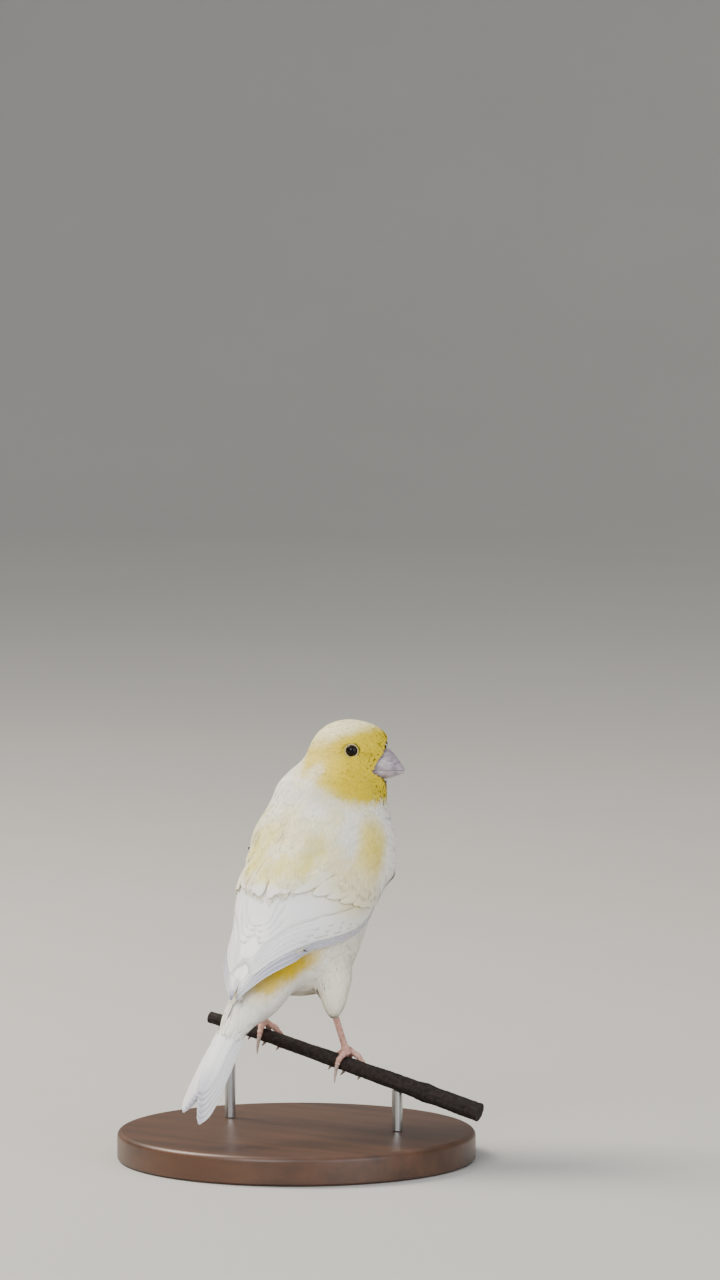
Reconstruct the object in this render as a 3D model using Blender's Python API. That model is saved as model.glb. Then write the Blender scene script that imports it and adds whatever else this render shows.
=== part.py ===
"""A still, life-size yellow canary that grips a short cut perch, on a plain round display stand.

Lengths are in millimetres, and put_object turns them into metres. The bird is laid out from the top of the
perch between its feet: at(forward, right, up) gives a place as the bird's own forward, right and up. Its
heading is -Y and its right is -X. The part's origin is the centre of the stand's underside.
"""

import math
from collections import namedtuple

import bmesh
import bpy
import numpy as np
from mathutils import Vector

MM = 0.001
GAP = 0.3

# Stand and perch
BASE_RADIUS = 50.0
BASE_HEIGHT = 8.0
BASE_EDGE = 1.6
BASE_PLACE = (-9.0, 4.0)
TAIL_CLEARANCE = 3.6
TAIL_DROP = 19.6
PERCH_TOP = BASE_HEIGHT + TAIL_CLEARANCE + TAIL_DROP
PERCH_SLOPE = 14.0
PERCH_TURN = 7.0
PERCH_LEFT = -30.0
PERCH_RIGHT = 57.0
PERCH_RADIUS = 1.95
PERCH_TAPER = 0.0115
PERCH_STRAIGHT = (8.0, 16.0)
PERCH_BEND = 0.0014
PERCH_NODES = ((40.0, 2.2, 0.35), (-20.0, 2.0, 0.3))
ROD_RADIUS = 1.5
ROD_PLACES = (-23.5, 31.0)

# Head and bill, from the centre of the head as its own forward, side and up
HEAD = (17.8, 4.3, 80.0)
HEAD_TURN = 63.0
EYE_PLACE = (1.0, 1.5)
EYE_SINK = 1.15
EYE_RADIUS = 2.0
LID_RING = 1.95
LID_THICK = 0.42
BILL_BACK = 5.4
GAPE = (6.0, -4.5)
CULMEN = (10.2, 1.1)
BILL_TIP = (14.9, -4.8)
CHIN = (10.0, -7.0)
BILL_HALF_WIDTH = 4.1
NOSTRIL = (11.4, 1.9, 0.0)
NOSTRIL_RADIUS = 0.5

# Body: each soft mass is its place, its radii along, across and deep, and the pitch of its length
SOFTNESS = 1.2
TRUNK_SEGMENTS = 32
TRUNK_RINGS = 30
TRUNK_ENDS = (0.12, 0.14)
HEAD_SEGMENTS = 26
HEAD_RINGS = 18
HEAD_REACH = 32.0
TORSO_MASSES = (
    ((2.0, 0.0, 39.5), (26.5, 18.4, 18.4), 62.0),
    ((11.7, 0.2, 55.6), (15.5, 20.2, 20.0), 68.0),
    ((-1.6, 0.0, 28.6), (15.6, 16.4, 16.2), 55.0),
    ((12.8, 0.6, 67.2), (10.5, 15.8, 17.2), 74.0),
    ((-17.5, 0.0, 19.2), (15.0, 8.8, 6.6), 47.0),
    ((-28.5, 0.0, 12.2), (12.5, 6.0, 3.8), 49.0),
)
HEAD_MASSES = (
    ((-1.2, 0.0, 0.0), (11.3, 9.2, 9.8), 0.0),
    ((5.0, 0.0, 1.3), (6.4, 4.0, 6.4), 0.0),
    ((4.0, 0.0, -7.0), (6.2, 4.3, 4.2), 0.0),
    ((-4.0, 0.0, -7.5), (10.8, 10.0, 10.0), 0.0),
)
SPINE = (
    (-29.0, 0.0, 11.5),
    (-19.0, 0.0, 18.5),
    (-5.5, 0.0, 27.5),
    (4.5, 0.5, 41.0),
    (10.5, 1.0, 55.0),
    (14.5, 2.5, 68.0),
)
# Cuts across the spine: forward, up and the pitch of the cut's normal
NECK_CUT = (11.0, 60.5, 62.0)
HEAD_CUT = (15.6, 70.4, 66.0)
RUMP_CUT = (-23.5, 15.8, 43.0)

# Folded wing: its lower edge from wrist to tip, and the line of the back that it reaches
WING_BED = ((-14.2, 0.0, 32.0), (31.0, 11.0, 6.0), 52.0)
WING_AXIS_FOOT = (-33.0, 0.0, 9.0)
WING_AXIS_PITCH = 55.0
WING_LOWER = ((20.0, 18.0, 50.5), (10.6, 17.5, 40.0), (-16.9, 11.0, 27.9), (-37.0, 1.6, 15.0))
WING_UPPER = ((-2.5, 0.5, 66.0), (-14.8, 0.5, 49.0), (-26.0, 0.5, 33.0), (-36.5, 0.9, 19.5))
WING_CORE = ((0.03, 0.76), (0.05, 0.93), (0.35, 1.05))
CORE_CELLS = (9, 7)
MIDLINE_CUT = (90.0, 70.0)

# Vanes: the share of the length from root to tip, and the breadth there
FLIGHT_FORM = ((0.0, 0.6), (0.42, 0.95), (0.78, 0.95), (0.94, 0.6), (1.0, 0.18))
COVERT_FORM = ((0.0, 0.7), (0.6, 1.0), (0.88, 0.7), (1.0, 0.2))
TIP_THICK = 0.35
ROOT_DIP = 0.7
VANE_JITTER = 0.006
WING_SEEDS = {1: 7, -1: 11}
WING_KEEP = 0.55

# Tiers of a folded wing, from its lower edge to the back. Roots, tips and breadths are those of the first and
# the last vane; rise is the floor, the top and the lift of the lower edge over the bed; bulge curves the tips
Tier = namedtuple("Tier", "count form roots tips breadths rise bulge", defaults=(0.0,))
WING_TIERS = {
    "primary": Tier(
        8, FLIGHT_FORM, roots=((0.12, 0.04), (0.20, 0.16)), tips=((0.95, 0.16), (0.78, 0.70)),
        breadths=(3.2, 3.8), rise=(0.7, 1.6, 0.8), bulge=0.1,
    ),
    "secondary": Tier(
        5, FLIGHT_FORM, roots=((0.14, 0.15), (0.30, 0.46)), tips=((0.745, 0.34), (0.70, 0.66)),
        breadths=(4.8, 5.4), rise=(0.7, 1.8, 0.8),
    ),
    "tertial": Tier(
        3, FLIGHT_FORM, roots=((0.27, 0.56), (0.33, 0.78)), tips=((0.72, 0.76), (0.53, 0.84)),
        breadths=(7.8, 7.8), rise=(0.7, 2.0, 0.8),
    ),
    "primary_covert": Tier(
        2, COVERT_FORM, roots=((0.07, 0.05), (0.10, 0.11)), tips=((0.30, 0.07), (0.33, 0.15)),
        breadths=(3.4, 3.4), rise=(0.9, 2.0, 0.6),
    ),
    "greater_covert": Tier(
        6, COVERT_FORM, roots=((0.07, 0.15), (0.22, 0.74)), tips=((0.31, 0.19), (0.42, 0.80)),
        breadths=(5.4, 5.8), rise=(0.9, 2.15, 0.8),
    ),
    "median_covert": Tier(
        5, COVERT_FORM, roots=((0.04, 0.14), (0.14, 0.70)), tips=((0.19, 0.17), (0.28, 0.75)),
        breadths=(6.2, 6.4), rise=(0.9, 2.4, 0.7),
    ),
    "lesser_covert": Tier(
        5, COVERT_FORM, roots=((0.01, 0.14), (0.05, 0.74)), tips=((0.12, 0.17), (0.17, 0.77)),
        breadths=(6.4, 6.6), rise=(0.9, 2.6, 0.6),
    ),
    "scapular": Tier(
        3, COVERT_FORM, roots=((0.03, 0.88), (0.18, 0.88)), tips=((0.24, 0.86), (0.43, 0.87)),
        breadths=(8.0, 8.0), rise=(0.9, 2.4, 0.5),
    ),
}

# Tail
TAIL_ROOT = (-29.4, -0.1, 14.2)
TAIL_PITCH = 49.0
TAIL_ROLL = 15.0
TAIL_LENGTH = 37.2
TAIL_FORK = 7.0
TAIL_WIDTH = 11.0
TAIL_SKEW = 1.2
TAIL_VANES = 6
TAIL_BREADTH = 5.2
TAIL_STEP = 0.32
TAIL_THICK = 0.6
TAIL_ARCH = 1.2
# Coverts of the tail, upper and under: height of the row, lengths of the middle and the outer ones
TAIL_COVERTS = ((1.1, 13.0, 9.0), (-2.4, 15.0, 10.0))

# Legs: the place of the right and the left foot along the perch
FOOT_ALONG = {1: 14.2, -1: -13.3}
FOOT_SPIN = -14.0
PAD_RADIUS = 1.5
ANKLE_RADIUS = 1.15
SHANK_RADIUS = 0.95
SHANK_LEAN = (-0.42, -0.02, 0.89)
BARE_LENGTH = 11.3
THIGH_FOOT_RADIUS = 1.7
THIGH_RADIUS = 6.2
THIGH_RISE = (2.6, -2.5, 13.0)

# Toes: drift along the perch away from the middle, and the spins round it where they start and end
TOES = {
    "inner": (-5.2, 8.0, 112.0),
    "middle": (-0.8, 10.0, 122.0),
    "outer": (4.2, 8.0, 108.0),
    "hind": (-0.9, -16.0, -92.0),
}
TOE_RADIUS = 0.85
TOE_TAPER = 0.3
KNUCKLE = 0.07
CLAW_RADII = (0.6, 0.55, 0.44, 0.28, 0.1)
CLAW_SPIN = 58.0
HIND_CLAW = 5.2

COLOURS = {
    "plumage_yellow": ("E8B81A", 0.75, 0.0),
    "plumage_white": ("ECE8DC", 0.75, 0.0),
    "bill_horn": ("CDBFBE", 0.4, 0.0),
    "eye_dark": ("0B0909", 0.08, 0.0),
    "leg_skin": ("C79C8D", 0.6, 0.0),
    "claw_horn": ("B9A091", 0.45, 0.0),
    "bark": ("2A221E", 0.85, 0.0),
    "stand_wood": ("3A2417", 0.45, 0.0),
    "stand_steel": ("B8B8B8", 0.3, 1.0),
}


def at(forward, right, up):
    """A place, in millimetres from the top of the perch between the feet."""
    return np.array([-right, -forward, up], float)


def between(ends, share):
    """The value, or the place, at this share of the way from the first end to the last."""
    first, last = np.asarray(ends, float)
    return first + (last - first) * share


def unit(vector):
    return np.asarray(vector, float) / np.linalg.norm(vector)


def turned(pitch, turn=0.0):
    """Three unit directions, along, right and deep, for a length at this pitch and turn to the right."""
    rise, side = math.radians(pitch), math.radians(turn)
    along = at(math.cos(rise) * math.cos(side), math.cos(rise) * math.sin(side), math.sin(rise))
    right = at(-math.sin(side), math.cos(side), 0.0)
    deep = at(-math.sin(rise) * math.cos(side), -math.sin(rise) * math.sin(side), math.cos(rise))
    return along, right, deep


HEAD_AXES = turned(0.0, HEAD_TURN)


def in_head(forward, side, up):
    """A place given from the centre of the head."""
    return at(*HEAD) + forward * HEAD_AXES[0] + side * HEAD_AXES[1] + up * HEAD_AXES[2]


def linear(code):
    """A hex sRGB colour as linear red, green, blue and alpha."""
    values = [int(code[i : i + 2], 16) / 255 for i in (0, 2, 4)]
    red, green, blue = [v / 12.92 if v <= 0.04045 else ((v + 0.055) / 1.055) ** 2.4 for v in values]
    return red, green, blue, 1.0


def make_materials():
    made = {}
    for name, (code, roughness, metallic) in COLOURS.items():
        material = bpy.data.materials.new(name)
        material.use_nodes = True
        shader = material.node_tree.nodes["Principled BSDF"]
        shader.inputs["Base Color"].default_value = linear(code)
        shader.inputs["Roughness"].default_value = roughness
        shader.inputs["Metallic"].default_value = metallic
        made[name] = material
    return made


def soft_masses():
    """The masses of the body as centres and scaling rows."""
    found = []
    for place, radii, pitch in TORSO_MASSES:
        found.append((at(*place), np.array([d / r for d, r in zip(turned(pitch), radii)])))
    for place, radii, pitch in HEAD_MASSES:
        found.append((in_head(*place), np.array([d / r for d, r in zip(turned(pitch, HEAD_TURN), radii)])))
    return found


def wing_bed_masses(side):
    """The body with the ridge that the folded wings lie on, mirrored for the left wing."""
    place, radii, pitch = WING_BED
    masses = soft_masses() + [(at(*place), np.array([d / r for d, r in zip(turned(pitch), radii)]))]
    flip = np.array([side, 1.0, 1.0])
    return [(centre * flip, rows * flip) for centre, rows in masses]


def field(points, masses):
    """How far points lie outside the smooth union of the masses, nearly, in millimetres."""
    total = 0.0
    for centre, rows in masses:
        scaled = (points - centre) @ rows.T + 1e-9
        reach = np.linalg.norm(scaled, axis=1)
        slope = np.linalg.norm(scaled @ rows, axis=1) / reach
        total = total + np.exp(-(reach - 1.0) / slope / SOFTNESS)
    return -SOFTNESS * np.log(total)


def outward(points, masses, step=0.05):
    """The unit directions in which the field grows fastest."""
    moves = np.eye(3) * step
    slopes = np.stack([field(points + m, masses) - field(points - m, masses) for m in moves], axis=1)
    return slopes / np.linalg.norm(slopes, axis=1)[:, None]


def cast(origins, directions, masses, offset=0.0, far=34.0, step=0.5):
    """Where rays from inside the body first pass the surface that lies this far outside it."""
    inner = np.zeros(len(origins))
    found = np.zeros(len(origins), bool)
    outer = np.full(len(origins), far)
    for reach in np.arange(step, far, step):
        outside = field(origins + reach * directions, masses) > offset
        newly = outside & ~found
        inner[newly], outer[newly] = reach - step, reach
        found |= outside
    for _ in range(18):
        middle = (inner + outer) / 2
        inside = field(origins + middle[:, None] * directions, masses) <= offset
        inner, outer = np.where(inside, middle, inner), np.where(inside, outer, middle)
    return origins + inner[:, None] * directions


def curve(points, t):
    """The place at t from 0 to 1 along a smooth curve through a few points."""
    points = np.asarray(points, float)
    place = min(max(t, 0.0), 1.0) * (len(points) - 1)
    i = min(int(place), len(points) - 2)
    a, b = points[i], points[i + 1]
    before = points[i - 1] if i else 2 * a - b
    after = points[i + 2] if i + 2 < len(points) else 2 * b - a
    x = place - i
    square = 2 * before - 5 * a + 4 * b - after
    cube = 3 * (a - b) + after - before
    return 0.5 * (2 * a + (b - before) * x + square * x**2 + cube * x**3)


def skin_bmesh(line, across, segments, rings, shares, masses, offset=0.0, far=34.0):
    """A closed surface round a bent line: rings of rays square to it, and a fan of rays at each end."""
    bm = bmesh.new()
    bmesh.ops.create_uvsphere(bm, u_segments=segments, v_segments=rings, radius=1.0)
    origins, directions = [], []
    for vert in bm.verts:
        t = math.acos(max(-1.0, min(1.0, vert.co.z))) / math.pi
        spin = math.atan2(vert.co.y, vert.co.x)
        along = min(max((1 - shares[1] - t) / (1 - shares[0] - shares[1] + 1e-9), 0.0), 1.0)
        normal = unit(curve(line, min(along + 0.02, 1.0)) - curve(line, max(along - 0.02, 0.0)))
        right = unit(across - normal * normal.dot(across))
        dorsal = np.cross(right, normal)
        tilt = max(0.0, 1 - t / shares[0]) - max(0.0, 1 - (1 - t) / shares[1])
        tilt *= math.pi / 2
        outward = math.cos(spin) * right + math.sin(spin) * dorsal
        origins.append(curve(line, along))
        directions.append(math.cos(tilt) * outward + math.sin(tilt) * normal)
    for vert, place in zip(bm.verts, cast(np.array(origins), np.array(directions), masses, offset, far)):
        vert.co = place
    bmesh.ops.recalc_face_normals(bm, faces=bm.faces)
    return bm


def trunk_bmesh(masses, offset=0.0):
    """The surface from the tail's root to the neck."""
    line = [at(*p) for p in SPINE]
    return skin_bmesh(line, at(0, 1, 0), TRUNK_SEGMENTS, TRUNK_RINGS, TRUNK_ENDS, masses, offset)


def head_bmesh(masses):
    """The surface of the head, its poles at the bill and the nape."""
    line = [in_head(-0.5, 0.0, 0.0), in_head(0.5, 0.0, 0.0)]
    return skin_bmesh(line, HEAD_AXES[1], HEAD_SEGMENTS, HEAD_RINGS, (0.5, 0.5), masses, far=HEAD_REACH)


def cut_away(bm, place, normal):
    """Removes what lies on the far side of a plane and closes the cut."""
    geometry = bm.verts[:] + bm.edges[:] + bm.faces[:]
    cut = bmesh.ops.bisect_plane(bm, geom=geometry, plane_co=place, plane_no=normal, clear_outer=True)
    edges = [e for e in cut["geom_cut"] if isinstance(e, bmesh.types.BMEdge)]
    bmesh.ops.holes_fill(bm, edges=edges)


def cut_plane(cut):
    """A cutting plane as its place and its normal, towards the head."""
    forward, up, pitch = cut
    return Vector(at(forward, 0.0, up)), Vector(turned(pitch)[0])


def push(bm, face):
    """Extrudes one face and gives the new one, still in the old one's place."""
    pushed = bmesh.ops.extrude_face_region(bm, geom=[face, *face.edges, *face.verts])["geom"]
    return next(g for g in pushed if isinstance(g, bmesh.types.BMFace))


def sheet(bm, along, across):
    """A closed sheet of two like faces, each a grid of triangles, as a list of (vertex, x, y, outer side)."""
    bmesh.ops.create_grid(bm, x_segments=along, y_segments=across, size=0.5)
    bmesh.ops.triangulate(bm, faces=bm.faces)
    inner = bm.verts[:]
    pushed = bmesh.ops.extrude_face_region(bm, geom=bm.faces[:])["geom"]
    outer = [g for g in pushed if isinstance(g, bmesh.types.BMVert)]
    return [(v, v.co.x + 0.5, v.co.y + 0.5, side) for side, verts in ((0, inner), (1, outer)) for v in verts]


def tube(bm, points, radii, sides):
    """A round solid through points, by pushing a disc from each to the next."""
    points = [np.asarray(p, float) for p in points]
    ring = bmesh.ops.create_circle(bm, cap_ends=True, radius=1.0, segments=sides)["verts"]
    face = ring[0].link_faces[0]
    side = unit(np.cross(points[1] - points[0], (0.31, 0.52, 0.79)))
    for i, (place, radius) in enumerate(zip(points, radii)):
        ahead = unit(points[min(i + 1, len(points) - 1)] - points[max(i - 1, 0)])
        side = unit(side - ahead * side.dot(ahead))
        other = np.cross(ahead, side)
        if i:
            face = push(bm, face)
        for k, vert in enumerate(face.verts):
            spin = 2 * math.pi * k / sides
            vert.co = place + radius * (math.cos(spin) * side + math.sin(spin) * other)


def put_object(name, bm, material, home, sharp=40.0):
    """A named object from a bmesh in millimetres, with its faces turned outwards."""
    bmesh.ops.recalc_face_normals(bm, faces=bm.faces)
    bmesh.ops.scale(bm, vec=(MM, MM, MM), verts=bm.verts)
    mesh = bpy.data.meshes.new(name)
    bm.to_mesh(mesh)
    bm.free()
    mesh.shade_smooth()
    mesh.set_sharp_from_angle(angle=math.radians(sharp))
    mesh.materials.append(material)
    obj = bpy.data.objects.new(name, mesh)
    bpy.context.scene.collection.objects.link(obj)
    obj.parent = home
    return obj


def largest_surface(mesh):
    """Keeps only the closed surface that holds the most volume."""
    bm = bmesh.new()
    bm.from_mesh(mesh)
    bmesh.ops.triangulate(bm, faces=bm.faces)
    pending = set(bm.faces)
    pieces = []
    while pending:
        seed = pending.pop()
        piece, stack = [seed], [seed]
        while stack:
            for edge in stack.pop().edges:
                for near in edge.link_faces:
                    if len(edge.link_faces) == 2 and near in pending:
                        pending.remove(near)
                        piece.append(near)
                        stack.append(near)
        volume = sum(f.verts[0].co.dot(f.verts[1].co.cross(f.verts[2].co)) for f in piece)
        pieces.append((abs(volume), piece))
    pieces.sort(key=lambda p: p[0])
    drop = [f for _, piece in pieces[:-1] for f in piece]
    bmesh.ops.delete(bm, geom=drop, context="FACES")
    bm.to_mesh(mesh)
    bm.free()


def boolean(obj, helpers, operation, solver="EXACT"):
    """Joins helper objects to an object, or cuts them from it, and removes them."""
    group = bpy.data.collections.new(obj.name + "_helpers")
    bpy.context.scene.collection.children.link(group)
    for helper in helpers:
        bpy.context.scene.collection.objects.unlink(helper)
        group.objects.link(helper)
    modifier = obj.modifiers.new(operation, "BOOLEAN")
    modifier.operation = operation
    modifier.operand_type = "COLLECTION"
    modifier.collection = group
    modifier.solver = solver
    bpy.context.view_layer.update()
    graph = bpy.context.evaluated_depsgraph_get()
    joined = bpy.data.meshes.new_from_object(obj.evaluated_get(graph))
    obj.modifiers.clear()
    old = obj.data
    obj.data = joined
    joined.name = obj.name
    bpy.data.meshes.remove(old)
    for helper in helpers:
        bpy.data.objects.remove(helper)
    bpy.data.collections.remove(group)
    largest_surface(obj.data)


def thin_out(obj, share):
    """Leaves about this share of an object's triangles."""
    modifier = obj.modifiers.new("thin_out", "DECIMATE")
    modifier.ratio = share
    graph = bpy.context.evaluated_depsgraph_get()
    thinned = bpy.data.meshes.new_from_object(obj.evaluated_get(graph))
    obj.modifiers.clear()
    old = obj.data
    obj.data = thinned
    thinned.name = obj.name
    bpy.data.meshes.remove(old)
    largest_surface(obj.data)


def ball(centre, radius, segments=16, rings=10):
    bm = bmesh.new()
    bmesh.ops.create_uvsphere(bm, u_segments=segments, v_segments=rings, radius=radius)
    bmesh.ops.translate(bm, vec=Vector(centre), verts=bm.verts)
    return bm


def eye_centre(side, masses):
    """The middle of an eyeball, sunk a little below the surface of the head."""
    inside = in_head(EYE_PLACE[0], 0.0, EYE_PLACE[1])
    surface = cast(inside[None], side * HEAD_AXES[1][None], masses)[0]
    return surface - side * EYE_SINK * HEAD_AXES[1]


def bill_half(upper, grow=0.0):
    """The upper or lower half of the bill: a pushed half-round section from the head out to the tip."""
    steps, sides = 7, 12
    bm = bmesh.new()
    ring = bmesh.ops.create_circle(bm, cap_ends=True, radius=1.0, segments=sides)["verts"]
    face = ring[0].link_faces[0]
    for i in range(steps + 1):
        t = i / steps
        forward = BILL_BACK + (BILL_TIP[0] - BILL_BACK - (0 if upper else 0.45)) * math.sin(t * math.pi / 2)
        forward += grow * (2 * t - 1)
        share = (forward - GAPE[0]) / (BILL_TIP[0] - GAPE[0])
        mouth = GAPE[1] + (BILL_TIP[1] - GAPE[1]) * share + 0.35 * math.sin(share * math.pi)
        past = max(0.0, (forward - CULMEN[0]) / (BILL_TIP[0] - CULMEN[0]))
        width = (BILL_HALF_WIDTH * (1 - 0.12 * share) * (1 - past**1.5) + 0.28 * past) + grow
        if upper:
            top = CULMEN[1] + (BILL_TIP[1] + 0.25 - CULMEN[1]) * past**1.25 + 0.25 * (1 - past) + grow
            low = mouth + GAP / 2 - grow
        else:
            top = mouth - GAP / 2 + grow
            low = CHIN[1] + (BILL_TIP[1] - 0.7 - CHIN[1]) * past**1.1 - 0.1 * (1 - past) - grow
        flat, deep = (low, top - low) if upper else (top, low - top)
        if i:
            face = push(bm, face)
        for k, vert in enumerate(face.verts):
            spin = 2 * math.pi * (k + 0.5) / sides
            side, rise = math.cos(spin), math.sin(spin)
            if rise < 0:
                rise = 0.0
                side = math.copysign(abs(side) ** 0.8, side)
            vert.co = in_head(forward, width * side, flat + deep * rise**0.85)
    return bm


def make_bill(materials, home):
    """Both halves of the bill, the upper one with its two nostrils."""
    upper = put_object("bill_upper", bill_half(True), materials["bill_horn"], home)
    pits = []
    forward, out, up = NOSTRIL
    for side in (1, -1):
        pit = ball(in_head(forward, side * out, up), NOSTRIL_RADIUS, 10, 6)
        pits.append(put_object("nostril_cut", pit, materials["bill_horn"], home))
    boolean(upper, pits, "DIFFERENCE")
    put_object("bill_lower", bill_half(False), materials["bill_horn"], home)


def make_head(materials, home, masses):
    """The head: sockets for the bill and the eyes, and a ring of lid round each eye."""
    bm = head_bmesh(masses)
    place, normal = cut_plane(HEAD_CUT)
    cut_away(bm, place + normal * GAP / 2, -normal)
    head = put_object("head", bm, materials["plumage_yellow"], home)
    lids = []
    for side in (1, -1):
        bm = bmesh.new()
        centre = eye_centre(side, masses) + side * (EYE_SINK + 0.05) * HEAD_AXES[1]
        ring = bmesh.ops.create_circle(bm, radius=LID_THICK, segments=6)["verts"]
        for vert in ring:
            vert.co = Vector((LID_RING + vert.co.x, 0.0, vert.co.y))
        ring = bm.verts[:] + bm.edges[:]
        full = 2 * math.pi
        bmesh.ops.spin(bm, geom=ring, axis=(0, 0, 1), cent=(0, 0, 0), steps=16, angle=full, use_merge=True)
        for vert in bm.verts:
            vert.co = centre + vert.co.x * HEAD_AXES[0] + vert.co.y * HEAD_AXES[2] + vert.co.z * HEAD_AXES[1]
        bmesh.ops.remove_doubles(bm, verts=bm.verts, dist=1e-4)
        lids.append(put_object(f"lid_{side}", bm, materials["plumage_yellow"], home))
    boolean(head, lids, "UNION")
    cutters = []
    for upper in (True, False):
        cutters.append(put_object("bill_cut", bill_half(upper, GAP), materials["bill_horn"], home))
    for side in (1, -1):
        cutter = ball(eye_centre(side, masses), EYE_RADIUS + GAP, 14, 10)
        cutters.append(put_object("eye_cut", cutter, materials["eye_dark"], home))
    boolean(head, cutters, "DIFFERENCE")
    return head


def make_body(materials, home, masses):
    """Neck, torso and the root of the tail, modelled whole and parted by thin cuts."""
    whole = trunk_bmesh(masses)
    neck = whole.copy()
    place, normal = cut_plane(HEAD_CUT)
    cut_away(neck, place - normal * GAP / 2, normal)
    place, normal = cut_plane(NECK_CUT)
    cut_away(neck, place + normal * GAP / 2, -normal)
    put_object("neck", neck, materials["plumage_yellow"], home)
    torso = whole.copy()
    cut_away(torso, place - normal * GAP / 2, normal)
    place, normal = cut_plane(RUMP_CUT)
    cut_away(torso, place + normal * GAP / 2, -normal)
    put_object("torso", torso, materials["plumage_white"], home)
    root = whole.copy()
    cut_away(root, place - normal * GAP / 2, normal)
    whole.free()
    return root


def on_bed(points, heights, masses):
    """Points moved out or in, square to the wing's axis, to these heights over the wings' bed."""
    along = turned(WING_AXIS_PITCH)[0]
    foot = at(*WING_AXIS_FOOT)
    origins = foot + np.outer((points - foot) @ along, along)
    directions = points - origins
    directions /= np.linalg.norm(directions, axis=1)[:, None]
    surface = cast(origins, directions, masses)
    return surface + np.asarray(heights)[:, None] * outward(surface, masses)


def wing_place(x, y):
    """A rough place on the folded wing: x from the wrist to the tip, y from the lower edge to the back."""
    lower = curve([at(*p) for p in WING_LOWER], x)
    upper = curve([at(*p) for p in WING_UPPER], x)
    return lower + (upper - lower) * y


def vane(form, place):
    """A closed tapered vane; place gives the position of each of its points, from its row, edge and side."""
    bm = bmesh.new()
    last = len(form) - 1
    for vert, x, y, outer in sheet(bm, last, 1):
        vert.co = place(round(x * last), round(y), outer)
    return bm


def wing_vane(form, root, tip, breadth, rise, side, masses):
    """One vane over the wings' bed, from its root to its tip on the wing, its lower edge lifted."""
    floor, top, lift = rise
    shares = np.array([share for share, _ in form])
    breadths = np.array([part for _, part in form]) * breadth / 2
    rough = np.array([wing_place(*between((root, tip), share)) for share in shares])
    middle = on_bed(rough, np.zeros(len(form)), masses)
    ahead = np.gradient(middle, axis=0)
    across = np.cross(ahead, outward(middle, masses))
    across /= np.linalg.norm(across, axis=1)[:, None]
    places, heights = [], []
    dip = 1 - ROOT_DIP * (1 - shares) ** 2
    thin = np.clip((shares - 0.7) / 0.3, 0.0, 1.0)
    for outer in (0, 1):
        for edge in (-1, 1):
            upper = (top - lift * edge / 2) * dip
            under = floor * dip
            under += (upper - TIP_THICK - under) * thin
            places.append(middle + across * (edge * breadths)[:, None])
            heights.append(upper if outer else under)
    laid = on_bed(np.concatenate(places), np.concatenate(heights), masses)
    laid = laid.reshape(2, 2, len(form), 3) * np.array([side, 1.0, 1.0])
    return vane(form, lambda i, edge, outer: laid[outer, edge, i])


def make_wing(side, materials, home, masses):
    """A folded wing: a thin core, its tiers of overlapping vanes, and the cuts that keep it clear."""
    bm = bmesh.new()
    along, up_back, floor_top = WING_CORE
    chart = sheet(bm, *CORE_CELLS)
    places = np.array([wing_place(between(along, x), between(up_back, y)) for _, x, y, _ in chart])
    heights = [floor_top[outer] for _, _, _, outer in chart]
    for (vert, _, _, _), place in zip(chart, on_bed(places, heights, masses)):
        vert.co = place * np.array([side, 1.0, 1.0])
    wing = put_object("wing_right" if side > 0 else "wing_left", bm, materials["plumage_white"], home)
    chance = np.random.default_rng(WING_SEEDS[side])
    vanes = []
    for name, tier in WING_TIERS.items():
        for i in range(tier.count):
            u = i / (tier.count - 1)
            root = between(tier.roots, u)
            tip = between(tier.tips, u) + chance.uniform(-VANE_JITTER, VANE_JITTER, 2)
            tip[0] += tier.bulge * math.sin(math.pi * u**0.6)
            breadth = between(tier.breadths, u) * chance.uniform(0.96, 1.04)
            floor, top, lift = tier.rise
            rise = (floor, top + 0.02 * i + chance.uniform(-0.04, 0.04), lift)
            bm = wing_vane(tier.form, root, tip, breadth, rise, side, masses)
            vanes.append(put_object(f"{name}_{i}", bm, materials["plumage_white"], home))
    boolean(wing, vanes, "UNION")
    deep, tall = MIDLINE_CUT
    bm = bmesh.new()
    bmesh.ops.create_cube(bm, size=1.0)
    bmesh.ops.scale(bm, vec=(deep, deep, deep), verts=bm.verts)
    bmesh.ops.translate(bm, vec=(side * (deep / 2 - GAP / 2), 0.0, tall / 2), verts=bm.verts)
    cutters = [put_object("midline_cut", bm, materials["plumage_white"], home)]
    cutters.append(put_object("trunk_cut", trunk_bmesh(soft_masses(), GAP), materials["plumage_white"], home))
    boolean(wing, cutters, "DIFFERENCE")
    thin_out(wing, WING_KEEP)


def tail_frame():
    """Three unit directions of the rolled tail: along it, to its right and up from it."""
    along, right, deep = turned(TAIL_PITCH)
    cosine, sine = math.cos(math.radians(TAIL_ROLL)), math.sin(math.radians(TAIL_ROLL))
    return -along, cosine * right - sine * deep, cosine * deep + sine * right


def tail_vane(form, start, length, centre, breadth, height):
    """One vane of the tail: centre gives its offset to the right at the root and at the tip."""
    along, right, up = tail_frame()

    def place(i, edge, outer):
        share, part = form[i]
        off = centre[0] + (centre[1] - centre[0]) * share + part * breadth / 2 * (2 * edge - 1)
        arch = -TAIL_ARCH * (2 * off / TAIL_WIDTH) ** 2
        thick = TAIL_THICK + (TIP_THICK - TAIL_THICK) * share
        rise = height + arch + thick * (outer - 0.5)
        return at(*TAIL_ROOT) + along * (start + (length - start) * share) + right * off + up * rise

    return vane(form, place)


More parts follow.
